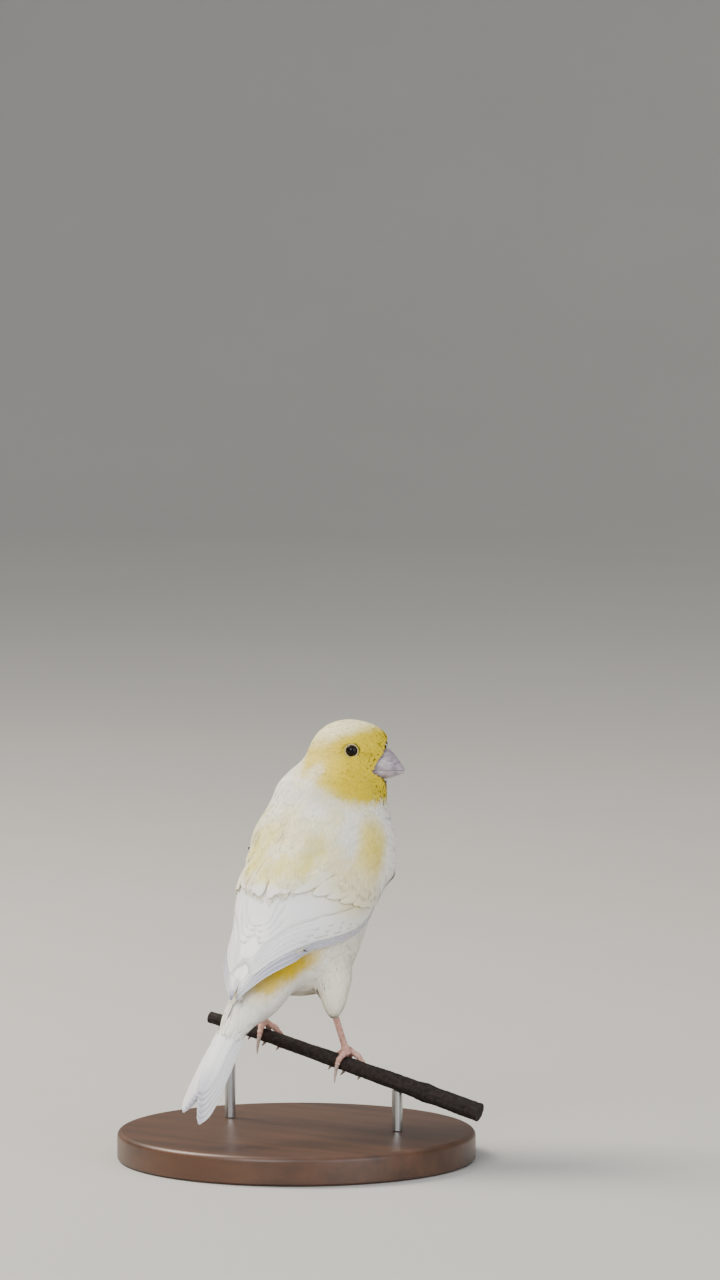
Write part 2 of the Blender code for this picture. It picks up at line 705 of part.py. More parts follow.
def make_tail(root, materials, home):
    """The tail: six vanes a side, the middle pair on top, with coverts above and below their roots."""
    tail = put_object("tail", root, materials["plumage_white"], home)
    vanes = []
    for k in range(TAIL_VANES):
        u = k / (TAIL_VANES - 1)
        for side in (1, -1):
            length = TAIL_LENGTH - TAIL_FORK * (1 - u) + TAIL_SKEW * side * u
            edge = TAIL_WIDTH / 2 - 0.5 * (1 - u) * TAIL_BREADTH
            centre = (side * (0.3 + 1.2 * u), side * (edge - TAIL_BREADTH / 2))
            height = -TAIL_STEP * (k + (0.5 if side < 0 else 0.0))
            bm = tail_vane(FLIGHT_FORM, -2.0, length, centre, TAIL_BREADTH, height)
            vanes.append(put_object(f"rectrix_{k}", bm, materials["plumage_white"], home))
    for height, middle, outer in TAIL_COVERTS:
        for k in (-2, 1, -1, 2, 0):
            length = middle + (outer - middle) * abs(k) / 2
            lift = height - math.copysign(0.2, height) * abs(k)
            bm = tail_vane(COVERT_FORM, -4.0, length, (0.8 * k, 1.5 * k), 4.6, lift)
            vanes.append(put_object(f"tail_covert_{k}", bm, materials["plumage_white"], home))
    boolean(tail, vanes, "UNION")


def perch_place(s, spin=0.0, reach=0.0):
    """A place round the perch: s along it to the bird's right, spin from its top towards the front."""
    turn, slope = math.radians(PERCH_TURN), math.radians(PERCH_SLOPE)
    along = at(math.sin(turn) * math.cos(slope), math.cos(turn) * math.cos(slope), -math.sin(slope))
    top = unit(at(0, 0, 1) - along * at(0, 0, 1).dot(along))
    front = np.cross(top, along)
    angle = math.radians(spin)
    past = s - PERCH_STRAIGHT[0]
    bend = PERCH_BEND * max(0.0, abs(past) - PERCH_STRAIGHT[1]) ** 2
    middle = along * s - top * (PERCH_RADIUS + bend / 2) + front * math.copysign(bend, past)
    return middle + reach * (math.cos(angle) * top + math.sin(angle) * front)


def perch_radius(s):
    """The perch thickens to the right, with a low swelling at each of its nodes."""
    swell = sum(height * math.exp(-(((s - place) / width) ** 2)) for place, width, height in PERCH_NODES)
    return PERCH_RADIUS + PERCH_TAPER * s + swell


def make_perch(materials, home):
    steps = 32
    places = [PERCH_LEFT + (PERCH_RIGHT - PERCH_LEFT) * i / steps for i in range(steps + 1)]
    bm = bmesh.new()
    tube(bm, [perch_place(s) for s in places], [perch_radius(s) for s in places], 12)
    put_object("perch", bm, materials["bark"], home)


def foot_top(side):
    """The middle of the foot, over the top of the perch."""
    along = FOOT_ALONG[side]
    return perch_place(along, FOOT_SPIN, perch_radius(along) + GAP + ANKLE_RADIUS)


def make_leg(side, materials, home, masses):
    """A leg: feathered thigh, bare shank, the foot with its four toes, and a claw on each toe."""
    word = "right" if side > 0 else "left"
    foot = foot_top(side)
    lean = unit(at(SHANK_LEAN[0], side * SHANK_LEAN[1], SHANK_LEAN[2]))
    bare = foot + lean * BARE_LENGTH
    knee = bare + at(THIGH_RISE[0], side * THIGH_RISE[1], THIGH_RISE[2])
    line = [bare, bare + lean * 1.6, bare + (knee - bare) * 0.4 + lean * 1.2, knee]
    shares = (0.0, 0.12, 0.24, 0.42, 0.6, 0.8, 1.0)
    radii = [THIGH_FOOT_RADIUS + (THIGH_RADIUS - THIGH_FOOT_RADIUS) * share**1.2 for share in shares]
    bm = bmesh.new()
    tube(bm, [curve(line, share) for share in shares], radii, 14)
    thigh = put_object(f"thigh_{word}", bm, materials["plumage_white"], home)
    cutter = put_object("thigh_cut", trunk_bmesh(masses, GAP), materials["plumage_white"], home)
    boolean(thigh, [cutter], "DIFFERENCE")

    ankle = foot + lean * PAD_RADIUS
    top = bare - lean * GAP
    bm = bmesh.new()
    shank = [ankle + (top - ankle) * share for share in (0.0, 0.15, 0.75, 1.0)]
    tube(bm, shank, [ANKLE_RADIUS, SHANK_RADIUS, SHANK_RADIUS, ANKLE_RADIUS], 10)
    put_object(f"shank_{word}", bm, materials["leg_skin"], home)

    bm = bmesh.new()
    pad_ends = [foot - lean * PAD_RADIUS / 2, foot, ankle - lean * GAP]
    tube(bm, pad_ends, [ANKLE_RADIUS, PAD_RADIUS, ANKLE_RADIUS], 10)
    pad = put_object(f"foot_{word}", bm, materials["leg_skin"], home)
    pieces = []
    for toe, (drift, start, end) in TOES.items():
        bm = bmesh.new()
        points, radii = toe_line(side, side * drift, start, end)
        tube(bm, points, radii, 8)
        pieces.append(put_object(f"toe_{toe}", bm, materials["leg_skin"], home))
        make_claw(f"claw_{toe}_{word}", toe, side, materials, home)
    boolean(pad, pieces, "UNION")


def toe_line(side, drift, start, end, steps=8):
    """The places and radii along a toe that lies round the perch, with a low knuckle at each joint."""
    points, radii = [], []
    for i in range(steps + 1):
        t = i / steps
        along = FOOT_ALONG[side] + drift * math.sin(t * math.pi / 2)
        radius = TOE_RADIUS * (1.1 - TOE_TAPER * t) + KNUCKLE * math.cos(6 * math.pi * t)
        lift = perch_radius(along) + GAP + radius + 0.55 * (1 - t) ** 3
        points.append(perch_place(along, start + (end - start) * t, lift))
        radii.append(radius)
    return points, radii


def make_claw(name, toe, side, materials, home):
    """A thin curved claw: the front ones wrap on round the perch, the hind one hangs straight down."""
    drift, start, end = TOES[toe]
    line, _ = toe_line(side, side * drift, start, end)
    ahead = unit(line[-1] - line[-2])
    root = line[-1] + ahead * GAP
    along = FOOT_ALONG[side] + side * drift
    points = []
    for t in (0.0, 0.25, 0.5, 0.75, 1.0):
        if toe == "hind":
            points.append(root + HIND_CLAW * (ahead * 0.45 * t * (2 - t) + at(0, 0, -1) * 0.62 * t**1.5))
        else:
            lift = perch_radius(along) + GAP + CLAW_RADII[0] + 0.25 + 0.35 * t * t
            wrapped = perch_place(along, end + CLAW_SPIN * t, lift)
            points.append(wrapped + (root - perch_place(along, end, lift)) * (1 - t) ** 2)
    bm = bmesh.new()
    tube(bm, points, CLAW_RADII, 8)
    put_object(name, bm, materials["claw_horn"], home)


def make_base(materials):
    """The round base, as a turned profile."""
    bm = bmesh.new()
    foot = BASE_EDGE / 3
    shoulder = BASE_HEIGHT - BASE_EDGE
    profile = [(0.0, 0.0), (BASE_RADIUS - foot, 0.0), (BASE_RADIUS, foot), (BASE_RADIUS, shoulder)]
    for angle in (math.pi / 6, math.pi / 3, math.pi / 2):
        inset = BASE_EDGE * (1 - math.cos(angle))
        profile.append((BASE_RADIUS - inset, BASE_HEIGHT - BASE_EDGE * (1 - math.sin(angle))))
    profile.append((0.0, BASE_HEIGHT))
    verts = [bm.verts.new((r, 0.0, z)) for r, z in profile]
    edges = [bm.edges.new(pair) for pair in zip(verts, verts[1:])]
    bmesh.ops.spin(
        bm, geom=verts + edges, axis=(0, 0, 1), cent=(0, 0, 0), steps=48, angle=2 * math.pi, use_merge=True
    )
    bmesh.ops.remove_doubles(bm, verts=bm.verts, dist=1e-3)
    put_object("stand_base", bm, materials["stand_wood"], None)


def make_rods(materials, home):
    """Two thin upright rods from the base, with their tops cut to the underside of the perch."""
    for number, along in enumerate(ROD_PLACES, 1):
        top = perch_place(along)
        bottom = np.array([top[0], top[1], -PERCH_TOP + BASE_HEIGHT + GAP])
        bm = bmesh.new()
        tube(bm, [bottom, top], [ROD_RADIUS, ROD_RADIUS], 16)
        rod = put_object(f"stand_rod_{number}", bm, materials["stand_steel"], home)
        near = [along + shift for shift in (-6.0, -4.5, -3.0, -1.5, 0.0, 1.5, 3.0, 4.5, 6.0)]
        bm = bmesh.new()
        tube(bm, [perch_place(place) for place in near], [perch_radius(place) + GAP for place in near], 20)
        saddle = put_object("saddle_cut", bm, materials["bark"], home)
        boolean(rod, [saddle], "DIFFERENCE")


def main():
    for obj in list(bpy.data.objects):
        bpy.data.objects.remove(obj)
    materials = make_materials()
    make_base(materials)
    home = bpy.data.objects.new("perch_top", None)
    bpy.context.scene.collection.objects.link(home)
    home.location = Vector(at(0.0, 0.0, PERCH_TOP) - at(*BASE_PLACE, 0.0)) * MM
    bpy.context.view_layer.update()

    masses = soft_masses()
    make_head(materials, home, masses)
    root = make_body(materials, home, masses)
    make_tail(root, materials, home)
    for side in (1, -1):
        make_wing(side, materials, home, wing_bed_masses(side))
        make_leg(side, materials, home, masses)
        word = "right" if side > 0 else "left"
        eye = ball(eye_centre(side, masses), EYE_RADIUS, 14, 10)
        put_object(f"eye_{word}", eye, materials["eye_dark"], home)
    make_bill(materials, home)
    make_perch(materials, home)
    make_rods(materials, home)


main()
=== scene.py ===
"""A canary on a cut perch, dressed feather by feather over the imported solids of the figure.

Lengths are in millimetres while a piece is made, and finished() turns them into metres. spot(forward, right,
up) gives a place from the top of the perch between the feet, as the bird's own forward, right and up, and
way() a direction. The bird's heading is -Y and its right is -X.
"""

import math
from collections import namedtuple
from functools import lru_cache

import bmesh
import bpy
import numpy as np
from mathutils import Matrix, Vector, noise
from mathutils.bvhtree import BVHTree
from mathutils.kdtree import KDTree


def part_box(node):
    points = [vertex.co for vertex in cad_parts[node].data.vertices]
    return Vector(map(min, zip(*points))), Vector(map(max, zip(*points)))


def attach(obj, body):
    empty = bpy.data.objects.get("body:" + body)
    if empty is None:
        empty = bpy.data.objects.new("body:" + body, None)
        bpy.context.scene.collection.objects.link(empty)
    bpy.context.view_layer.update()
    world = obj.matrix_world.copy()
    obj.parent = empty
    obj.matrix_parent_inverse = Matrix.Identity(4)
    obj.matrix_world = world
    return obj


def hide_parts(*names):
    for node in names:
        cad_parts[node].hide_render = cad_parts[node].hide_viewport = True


bl_info = {
    "name": "Perched canary",
    "version": (1, 0, 0),
    "blender": (4, 5, 0),
    "location": "3D View > Sidebar > Canary",
    "description": "Dresses the solids of a perched canary in skin, feathers, horn, bark and wood",
    "category": "Object",
}

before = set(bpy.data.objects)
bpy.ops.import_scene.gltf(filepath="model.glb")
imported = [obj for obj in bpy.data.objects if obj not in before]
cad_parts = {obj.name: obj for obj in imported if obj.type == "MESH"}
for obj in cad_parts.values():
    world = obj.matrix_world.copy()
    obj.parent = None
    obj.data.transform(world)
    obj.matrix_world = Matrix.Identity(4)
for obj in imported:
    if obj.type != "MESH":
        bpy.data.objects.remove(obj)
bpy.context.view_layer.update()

MM = 0.001
PERCH_TOP = np.array((4.0, -9.0, 31.2))


def way(forward, right, up):
    """A direction of the bird's own, as one of the scene's."""
    return np.array([-right, -forward, up], float)


def spot(forward, right, up):
    """A place, in millimetres from the top of the perch between the feet."""
    return PERCH_TOP + way(forward, right, up)


def unit(vectors):
    """Directions of length one."""
    vectors = np.asarray(vectors, float)
    return vectors / np.linalg.norm(vectors, axis=-1, keepdims=True)


def between(ends, share):
    """The value, or the place, at this share of the way from the first end to the last."""
    first, last = np.asarray(ends, float)
    return first + (last - first) * share


def turned(pitch, turn=0.0):
    """Three unit directions, along, right and deep, for a length at this pitch and turn to the right."""
    rise, side = math.radians(pitch), math.radians(turn)
    along = way(math.cos(rise) * math.cos(side), math.cos(rise) * math.sin(side), math.sin(rise))
    right = way(-math.sin(side), math.cos(side), 0.0)
    deep = way(-math.sin(rise) * math.cos(side), -math.sin(rise) * math.sin(side), math.cos(rise))
    return along, right, deep


# The solids' own sizes, as the part's source gives them
GAP = 0.3
HEAD = (17.8, 4.3, 80.0)
HEAD_TURN = 63.0
HEAD_AXES = turned(0.0, HEAD_TURN)
LID_RING = 1.95
BILL_BACK = 5.4
GAPE = (6.0, -4.5)
CULMEN = (10.2, 1.1)
BILL_TIP = (14.9, -4.8)
CHIN = (10.0, -7.0)
BILL_HALF_WIDTH = 4.1
NOSTRIL = (11.4, 1.9, 0.0)
NOSTRIL_RADIUS = 0.5
SOFTNESS = 1.2
TORSO_MASSES = (
    ((2.0, 0.0, 39.5), (26.5, 18.4, 18.4), 62.0),
    ((11.7, 0.2, 55.6), (15.5, 20.2, 20.0), 68.0),
    ((-1.6, 0.0, 28.6), (15.6, 16.4, 16.2), 55.0),
    ((12.8, 0.6, 67.2), (10.5, 15.8, 17.2), 74.0),
    ((-17.5, 0.0, 19.2), (15.0, 8.8, 6.6), 47.0),
    ((-28.5, 0.0, 12.2), (12.5, 6.0, 3.8), 49.0),
    ((-14.2, 0.0, 32.0), (31.0, 11.0, 6.0), 52.0),
)
WING_AXIS_FOOT = (-33.0, 0.0, 9.0)
WING_AXIS_PITCH = 55.0
WING_LOWER = ((20.0, 18.0, 50.5), (10.6, 17.5, 40.0), (-16.9, 11.0, 27.9), (-37.0, 1.6, 15.0))
WING_UPPER = ((-2.5, 0.5, 66.0), (-14.8, 0.5, 49.0), (-26.0, 0.5, 33.0), (-36.5, 0.9, 19.5))
TAIL_ROOT = (-29.4, -0.1, 14.2)
TAIL_PITCH = 49.0
TAIL_ROLL = 15.0
TAIL_LENGTH = 37.2
TAIL_FORK = 7.0
TAIL_WIDTH = 11.0
TAIL_SKEW = 1.2
TAIL_VANES = 6
TAIL_BREADTH = 5.2
TAIL_STEP = 0.32
TAIL_ARCH = 1.2
PERCH_SLOPE = 14.0
PERCH_TURN = 7.0
PERCH_LEFT = -30.0
PERCH_RIGHT = 57.0
PERCH_RADIUS = 1.95
PERCH_TAPER = 0.0115
PERCH_STRAIGHT = (8.0, 16.0)
PERCH_BEND = 0.0014
PERCH_NODES = ((40.0, 2.2, 0.35), (-20.0, 2.0, 0.3))
FOOT_ALONG = {1: 14.2, -1: -13.3}
FOOT_SPIN = -14.0
PAD_RADIUS = 1.5
ANKLE_RADIUS = 1.15
SHANK_RADIUS = 0.95
SHANK_LEAN = (-0.42, -0.02, 0.89)
BARE_LENGTH = 11.3
THIGH_RISE = (2.6, -2.5, 13.0)
TOES = {
    "inner": (-5.2, 8.0, 112.0),
    "middle": (-0.8, 10.0, 122.0),
    "outer": (4.2, 8.0, 108.0),
    "hind": (-0.9, -16.0, -92.0),
}
TOE_RADIUS = 0.85
TOE_TAPER = 0.3
CLAW_RADII = (0.6, 0.55, 0.44, 0.28, 0.1)
CLAW_SPIN = 58.0
HIND_CLAW = 5.2
BASE_RADIUS = 50.0
BASE_HEIGHT = 8.0
BASE_EDGE = 1.6
SIDES = {1: "right", -1: "left"}

# The coat: the skin lies this far inside the solids, and the feathers grow back out to them
COAT_DEPTH = 0.6
FACE_DEPTH = 0.42
SOLID_SWELL = 0.25
BED_VOXEL = 0.6
BED_SMOOTHING = 34
NORMAL_SMOOTHING = 14


def in_head(forward, side, up):
    """A place given from the centre of the head."""
    return spot(*HEAD) + forward * HEAD_AXES[0] + side * HEAD_AXES[1] + up * HEAD_AXES[2]


def head_parts(points):
    """The head's own forward, side and up of places, each as an array."""
    away = points - spot(*HEAD)
    return away @ HEAD_AXES[0], away @ HEAD_AXES[1], away @ HEAD_AXES[2]


def bird_parts(points):
    """The bird's own forward, right and up of places, each as an array."""
    away = points - PERCH_TOP
    return -away[:, 1], -away[:, 0], away[:, 2]


def linear(code):
    """A hex sRGB colour as linear red, green, blue and alpha."""
    values = [int(code[i : i + 2], 16) / 255 for i in (0, 2, 4)]
    red, green, blue = [v / 12.92 if v <= 0.04045 else ((v + 0.055) / 1.055) ** 2.4 for v in values]
    return red, green, blue, 1.0


def eased(value, low, high):
    """From 0 to 1 as a value passes from low to high, smoothly."""
    share = np.clip((value - low) / (high - low), 0.0, 1.0)
    return share * share * (3 - 2 * share)


def curve(points, t):
    """The place at t from 0 to 1 along a smooth curve through a few points."""
    points = np.asarray(points, float)
    place = min(max(t, 0.0), 1.0) * (len(points) - 1)
    i = min(int(place), len(points) - 2)
    a, b = points[i], points[i + 1]
    before = points[i - 1] if i else 2 * a - b
    after = points[i + 2] if i + 2 < len(points) else 2 * b - a
    x = place - i
    square = 2 * before - 5 * a + 4 * b - after
    cube = 3 * (a - b) + after - before
    return 0.5 * (2 * a + (b - before) * x + square * x**2 + cube * x**3)


# Markings of the plumage, as sRGB: what each gives is the colour of the finished feathers, save the lavender
# grey, which is painted shade on the flight and tail feathers
class CanaryPlumage(bpy.types.PropertyGroup):
    """The colours and the coat of the bird."""

    cream: bpy.props.FloatVectorProperty(
        name="Cream white", description="Ground colour of the body feathers", subtype="COLOR", size=4,
        default=linear("F7F3E8"), min=0.0, max=1.0,
    )
    gold: bpy.props.FloatVectorProperty(
        name="Golden mask", description="Forehead, cheeks and throat", subtype="COLOR", size=4,
        default=linear("DCC000"), min=0.0, max=1.0,
    )
    deep: bpy.props.FloatVectorProperty(
        name="Deep yellow", description="Patch on the rump's side, below the folded wing", subtype="COLOR",
        size=4, default=linear("DDBA00"), min=0.0, max=1.0,
    )
    pale: bpy.props.FloatVectorProperty(
        name="Pale yellow", description="Wash over the back and the shoulder", subtype="COLOR", size=4,
        default=linear("EFDF4E"), min=0.0, max=1.0,
    )
    beige: bpy.props.FloatVectorProperty(
        name="Beige", description="Larger coverts of the wing", subtype="COLOR", size=4,
        default=linear("EFE2B4"), min=0.0, max=1.0,
    )
    white: bpy.props.FloatVectorProperty(
        name="Flight white", description="Flight and tail feathers", subtype="COLOR", size=4,
        default=linear("FAFAF8"), min=0.0, max=1.0,
    )
    # Painted shade: the lavender grey stands for the shade on the inner webs of the flight feathers and on
    # the tail's tips
    shade_lavender: bpy.props.FloatVectorProperty(
        name="Lavender grey", description="Inner webs of the flight feathers and the tail's tips",
        subtype="COLOR", size=4, default=linear("A6A5B8"), min=0.0, max=1.0,
    )
    body_length: bpy.props.FloatProperty(
        name="Body feather", description="Length of the feathers on the body", default=0.0068, min=0.003,
        max=0.012, subtype="DISTANCE", unit="LENGTH",
    )
    head_length: bpy.props.FloatProperty(
        name="Head feather", description="Length of the feathers on the crown", default=0.0030, min=0.001,
        max=0.006, subtype="DISTANCE", unit="LENGTH",
    )


class CanaryStand(bpy.types.PropertyGroup):
    """The perch and the stand."""

    bark: bpy.props.FloatVectorProperty(
        name="Bark", description="Colour of the perch's bark", subtype="COLOR", size=4,
        default=linear("241D1A"), min=0.0, max=1.0,
    )
    walnut: bpy.props.FloatVectorProperty(
        name="Walnut", description="Colour of the base's wood", subtype="COLOR", size=4,
        default=linear("5A3A26"), min=0.0, max=1.0,
    )
    ridge: bpy.props.FloatProperty(
        name="Bark relief", description="How far the bark's ridges stand out", default=0.00022, min=0.0,
        max=0.001, subtype="DISTANCE", unit="LENGTH",
    )


class CanaryStudio(bpy.types.PropertyGroup):
    """The floor, the light and the view."""

    floor: bpy.props.FloatVectorProperty(
        name="Floor", description="Colour of the floor", subtype="COLOR", size=4, default=linear("BDBBB6"),
        min=0.0, max=1.0,
    )
    key: bpy.props.FloatProperty(
        name="Key light", description="Strength of the light from above and behind", default=5.2, min=0.0,
        subtype="POWER", unit="POWER",
    )
    azimuth: bpy.props.FloatProperty(
        name="View azimuth", description="Where the camera stands round the bird", default=math.radians(215),
        subtype="ANGLE", unit="ROTATION",
    )


# Materials
def add_node(tree, kind, links=None, **settings):
    """One node with its settings; links gives a value or another node's output for each input by name."""
    node = tree.nodes.new(kind)
    for name, value in settings.items():
        setattr(node, name, value)
    for name, value in (links or {}).items():
        if isinstance(value, bpy.types.NodeSocket):
            tree.links.new(value, node.inputs[name])
        else:
            node.inputs[name].default_value = value
    return node


def new_material(name, **constants):
    """A material, its tree and its shader with constants straight on the shader's own sockets."""
    material = bpy.data.materials.new(name)
    material.use_nodes = True
    tree = material.node_tree
    shader = tree.nodes["Principled BSDF"]
    for key, value in constants.items():
        shader.inputs[key.replace("_", " ")].default_value = value
    return material, tree, shader


def tinted(tree, shader, tone, pattern, low, high):
    """Colours the shader by a tone, made darker and lighter by a pattern between two factors."""
    shade = add_node(tree, "ShaderNodeMapRange", {"Value": pattern, "To Min": low, "To Max": high})
    mix = add_node(tree, "ShaderNodeVectorMath", {0: tone}, operation="SCALE")
    tree.links.new(shade.outputs["Result"], mix.inputs["Scale"])
    tree.links.new(mix.outputs["Vector"], shader.inputs["Base Color"])


@lru_cache(maxsize=None)
def feather_material():
    """Contour feathers: soft keratin vanes, matt, with a faint sheen and a fine unevenness of tone."""
    material, tree, shader = new_material(
        "soft_feather", Roughness=0.68, IOR=1.54, Sheen_Weight=0.05, Sheen_Roughness=0.45,
        Specular_IOR_Level=0.22,
    )
    tone = add_node(tree, "ShaderNodeAttribute", attribute_name="Markings")
    where = add_node(tree, "ShaderNodeTexCoord")
    # Flecks of 1.5 mm keep the coat from one even tone
    flecks = add_node(
        tree, "ShaderNodeTexNoise", {"Vector": where.outputs["Object"], "Scale": 650.0, "Detail": 3.0}
    )
    tinted(tree, shader, tone.outputs["Color"], flecks.outputs["Fac"], 0.94, 1.04)
    return material


@lru_cache(maxsize=None)
def vane_material():
    """Flight feathers: flat closed vanes of keratin, smoother than the coat, with slanting barbs."""
    material, tree, shader = new_material(
        "flight_feather", Roughness=0.5, IOR=1.54, Sheen_Weight=0.06, Sheen_Roughness=0.4,
        Specular_IOR_Level=0.4,
    )
    tone = add_node(tree, "ShaderNodeAttribute", attribute_name="Markings")
    vane = add_node(tree, "ShaderNodeUVMap", uv_map="Vane")
    # Barbs 0.3 mm apart, drawn a little coarser than real ones so that they show
    barbs = add_node(
        tree, "ShaderNodeTexWave",
        {"Vector": vane.outputs["UV"], "Scale": 520.0, "Distortion": 1.5, "Detail": 2.0, "Detail Scale": 2.0},
        bands_direction="DIAGONAL",
    )
    tinted(tree, shader, tone.outputs["Color"], barbs.outputs["Fac"], 0.965, 1.0)
    bump = add_node(
        tree, "ShaderNodeBump", {"Strength": 0.25, "Distance": 0.00005, "Height": barbs.outputs["Fac"]}
    )
    tree.links.new(bump.outputs["Normal"], shader.inputs["Normal"])
    return material


def patterned(name, light, dark, scale, detail=4.0, stretch=(1.0, 1.0, 1.0), relief=0.00005, **constants):
    """A material whose colour runs between two tones by a noise, with the same noise as its relief."""
    material, tree, shader = new_material(name, **constants)
    where = add_node(tree, "ShaderNodeTexCoord")
    mapped = add_node(tree, "ShaderNodeMapping", {"Vector": where.outputs["Object"], "Scale": stretch})
    grain = add_node(
        tree, "ShaderNodeTexNoise",
        {"Vector": mapped.outputs["Vector"], "Scale": scale, "Detail": detail, "Roughness": 0.6},
    )
    ramp = add_node(tree, "ShaderNodeValToRGB", {"Fac": grain.outputs["Fac"]})
    ramp.color_ramp.elements[0].position = 0.32
    ramp.color_ramp.elements[0].color = dark
    ramp.color_ramp.elements[1].position = 0.68
    ramp.color_ramp.elements[1].color = light
    tree.links.new(ramp.outputs["Color"], shader.inputs["Base Color"])
    bump = add_node(
        tree, "ShaderNodeBump", {"Strength": 0.5, "Distance": relief, "Height": grain.outputs["Fac"]}
    )
    tree.links.new(bump.outputs["Normal"], shader.inputs["Normal"])
    return material


# Meshes
def push(bm, face):
    """Extrudes one face and gives the new one, still in the old one's place."""
    pushed = bmesh.ops.extrude_face_region(bm, geom=[face, *face.edges, *face.verts])["geom"]
    return next(g for g in pushed if isinstance(g, bmesh.types.BMFace))


def tube(bm, points, radii, sides):
    """A round solid through points, by pushing a disc from each to the next."""
    ring = bmesh.ops.create_circle(bm, cap_ends=True, radius=1.0, segments=sides)["verts"]
    face = ring[0].link_faces[0]
    side = unit(np.cross(points[1] - points[0], (0.31, 0.52, 0.79)))
    for i, (place, radius) in enumerate(zip(points, radii)):
        ahead = unit(points[min(i + 1, len(points) - 1)] - points[max(i - 1, 0)])
        side = unit(side - ahead * side.dot(ahead))
        other = np.cross(ahead, side)
        if i:
            face = push(bm, face)
        for k, vert in enumerate(face.verts):
            spin = 2 * math.pi * k / sides
            vert.co = place + radius * (math.cos(spin) * side + math.sin(spin) * other)


def finished(name, bm, material, replaces=(), sharp=None):
    """A named piece from a bmesh in millimetres: its faces outwards, for the nodes it replaces."""
    bm.normal_update()
    bmesh.ops.recalc_face_normals(bm, faces=bm.faces)
    bmesh.ops.scale(bm, vec=(MM, MM, MM), verts=bm.verts)
    mesh = bpy.data.meshes.new(name)
    bm.to_mesh(mesh)
    bm.free()
    mesh.shade_smooth()
    if sharp is not None:
        mesh.set_sharp_from_angle(angle=math.radians(sharp))
    return on_body(name, mesh, material, replaces)


def on_body(name, mesh, material, replaces=()):
    """An object of a finished mesh that rides on the figure and stands for its nodes."""
    mesh.materials.append(material)
    piece = bpy.data.objects.new(name, mesh)
    bpy.context.scene.collection.objects.link(piece)
    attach(piece, "root")
    if replaces:
        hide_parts(*replaces)
    return piece


def lathed(profile, steps):
    """A bmesh turned round the upright axis from a line of radii and heights."""
    bm = bmesh.new()
    verts = [bm.verts.new((radius, 0.0, height)) for radius, height in profile]
    edges = [bm.edges.new(pair) for pair in zip(verts, verts[1:])]
    bmesh.ops.spin(
        bm, geom=verts + edges, axis=(0, 0, 1), cent=(0, 0, 0), steps=steps, angle=2 * math.pi,
        use_merge=True,
    )
    bmesh.ops.remove_doubles(bm, verts=bm.verts, dist=1e-4)
    return bm


def cad_copy(names):
    """A bmesh in millimetres of merged copies of CAD nodes."""
    bm = bmesh.new()
    for name in names:
        bm.from_mesh(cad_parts[name].data)
    bmesh.ops.scale(bm, vec=(1 / MM, 1 / MM, 1 / MM), verts=bm.verts)
    bmesh.ops.remove_doubles(bm, verts=bm.verts, dist=1e-3)
    return bm


def remeshed(bm, voxel):
    """The bmesh as one closed skin of even faces."""
    mesh = bpy.data.meshes.new("remesh")
    bm.to_mesh(mesh)
    bm.free()
    helper = bpy.data.objects.new("remesh", mesh)
    bpy.context.scene.collection.objects.link(helper)
    modifier = helper.modifiers.new("remesh", "REMESH")
    modifier.mode = "VOXEL"
    modifier.voxel_size = voxel
    graph = bpy.context.evaluated_depsgraph_get()
    even = bmesh.new()
    even.from_mesh(bpy.data.meshes.new_from_object(helper.evaluated_get(graph)))
    bpy.data.objects.remove(helper)
    bpy.data.meshes.remove(mesh)
    return even


def smoothed(bm, rounds):
    """Evens out the skin a number of times and renews its normals."""
    for _ in range(rounds):
        bmesh.ops.smooth_vert(
            bm, verts=bm.verts, factor=0.5, use_axis_x=True, use_axis_y=True, use_axis_z=True
        )
    bm.normal_update()


def cut_beyond(bm, place, normal):
    """Removes what lies past a plane and closes the cut."""
    geometry = bm.verts[:] + bm.edges[:] + bm.faces[:]
    cut = bmesh.ops.bisect_plane(
        bm, geom=geometry, plane_co=Vector(place), plane_no=Vector(normal), clear_outer=True
    )
    edges = [e for e in cut["geom_cut"] if isinstance(e, bmesh.types.BMEdge)]
    bmesh.ops.holes_fill(bm, edges=edges)


def tail_frame():
    """Three unit directions of the rolled tail: along it, to its right and up from it."""
    along, right, deep = turned(TAIL_PITCH)
    cosine, sine = math.cos(math.radians(TAIL_ROLL)), math.sin(math.radians(TAIL_ROLL))
    return -along, cosine * right - sine * deep, cosine * deep + sine * right


FLESH = ("head", "neck", "torso", "thigh_left", "thigh_right")
FACE = ("bill_upper", "bill_lower", "eye_left", "eye_right")
TAIL_STUMP = 7.0
TAIL_BED = 20.0


def flesh_bmesh(with_wings, stump_length, voxel, rounds, depth):
    """Skin over the solids of flesh, drawn in by a depth that each point's place gives."""
    bm = cad_copy(FLESH + FACE + (("wing_left", "wing_right") if with_wings else ()))
    stump = cad_copy(("tail",))
    along = tail_frame()[0]
    cut_beyond(stump, spot(*TAIL_ROOT) + along * stump_length, along)
    helper = bpy.data.meshes.new("stump")
    stump.to_mesh(helper)
    stump.free()
    bm.from_mesh(helper)
    bpy.data.meshes.remove(helper)
    bm.normal_update()
    for vert in bm.verts:
        vert.co += vert.normal * SOLID_SWELL
    bm = remeshed(bm, voxel)
    smoothed(bm, rounds)
    places = np.array([v.co for v in bm.verts])
    for vert, inward in zip(bm.verts, depth(places)):
        vert.co -= vert.normal * (SOLID_SWELL + inward)
    smoothed(bm, 2)
    return bm


def coat_depth(places):
    """The skin lies shallower under the short feathers of the face."""
    away = np.linalg.norm(places - in_head(2.0, 0.0, 0.0), axis=1)
    return FACE_DEPTH + (COAT_DEPTH - FACE_DEPTH) * eased(away, 9.0, 16.0)


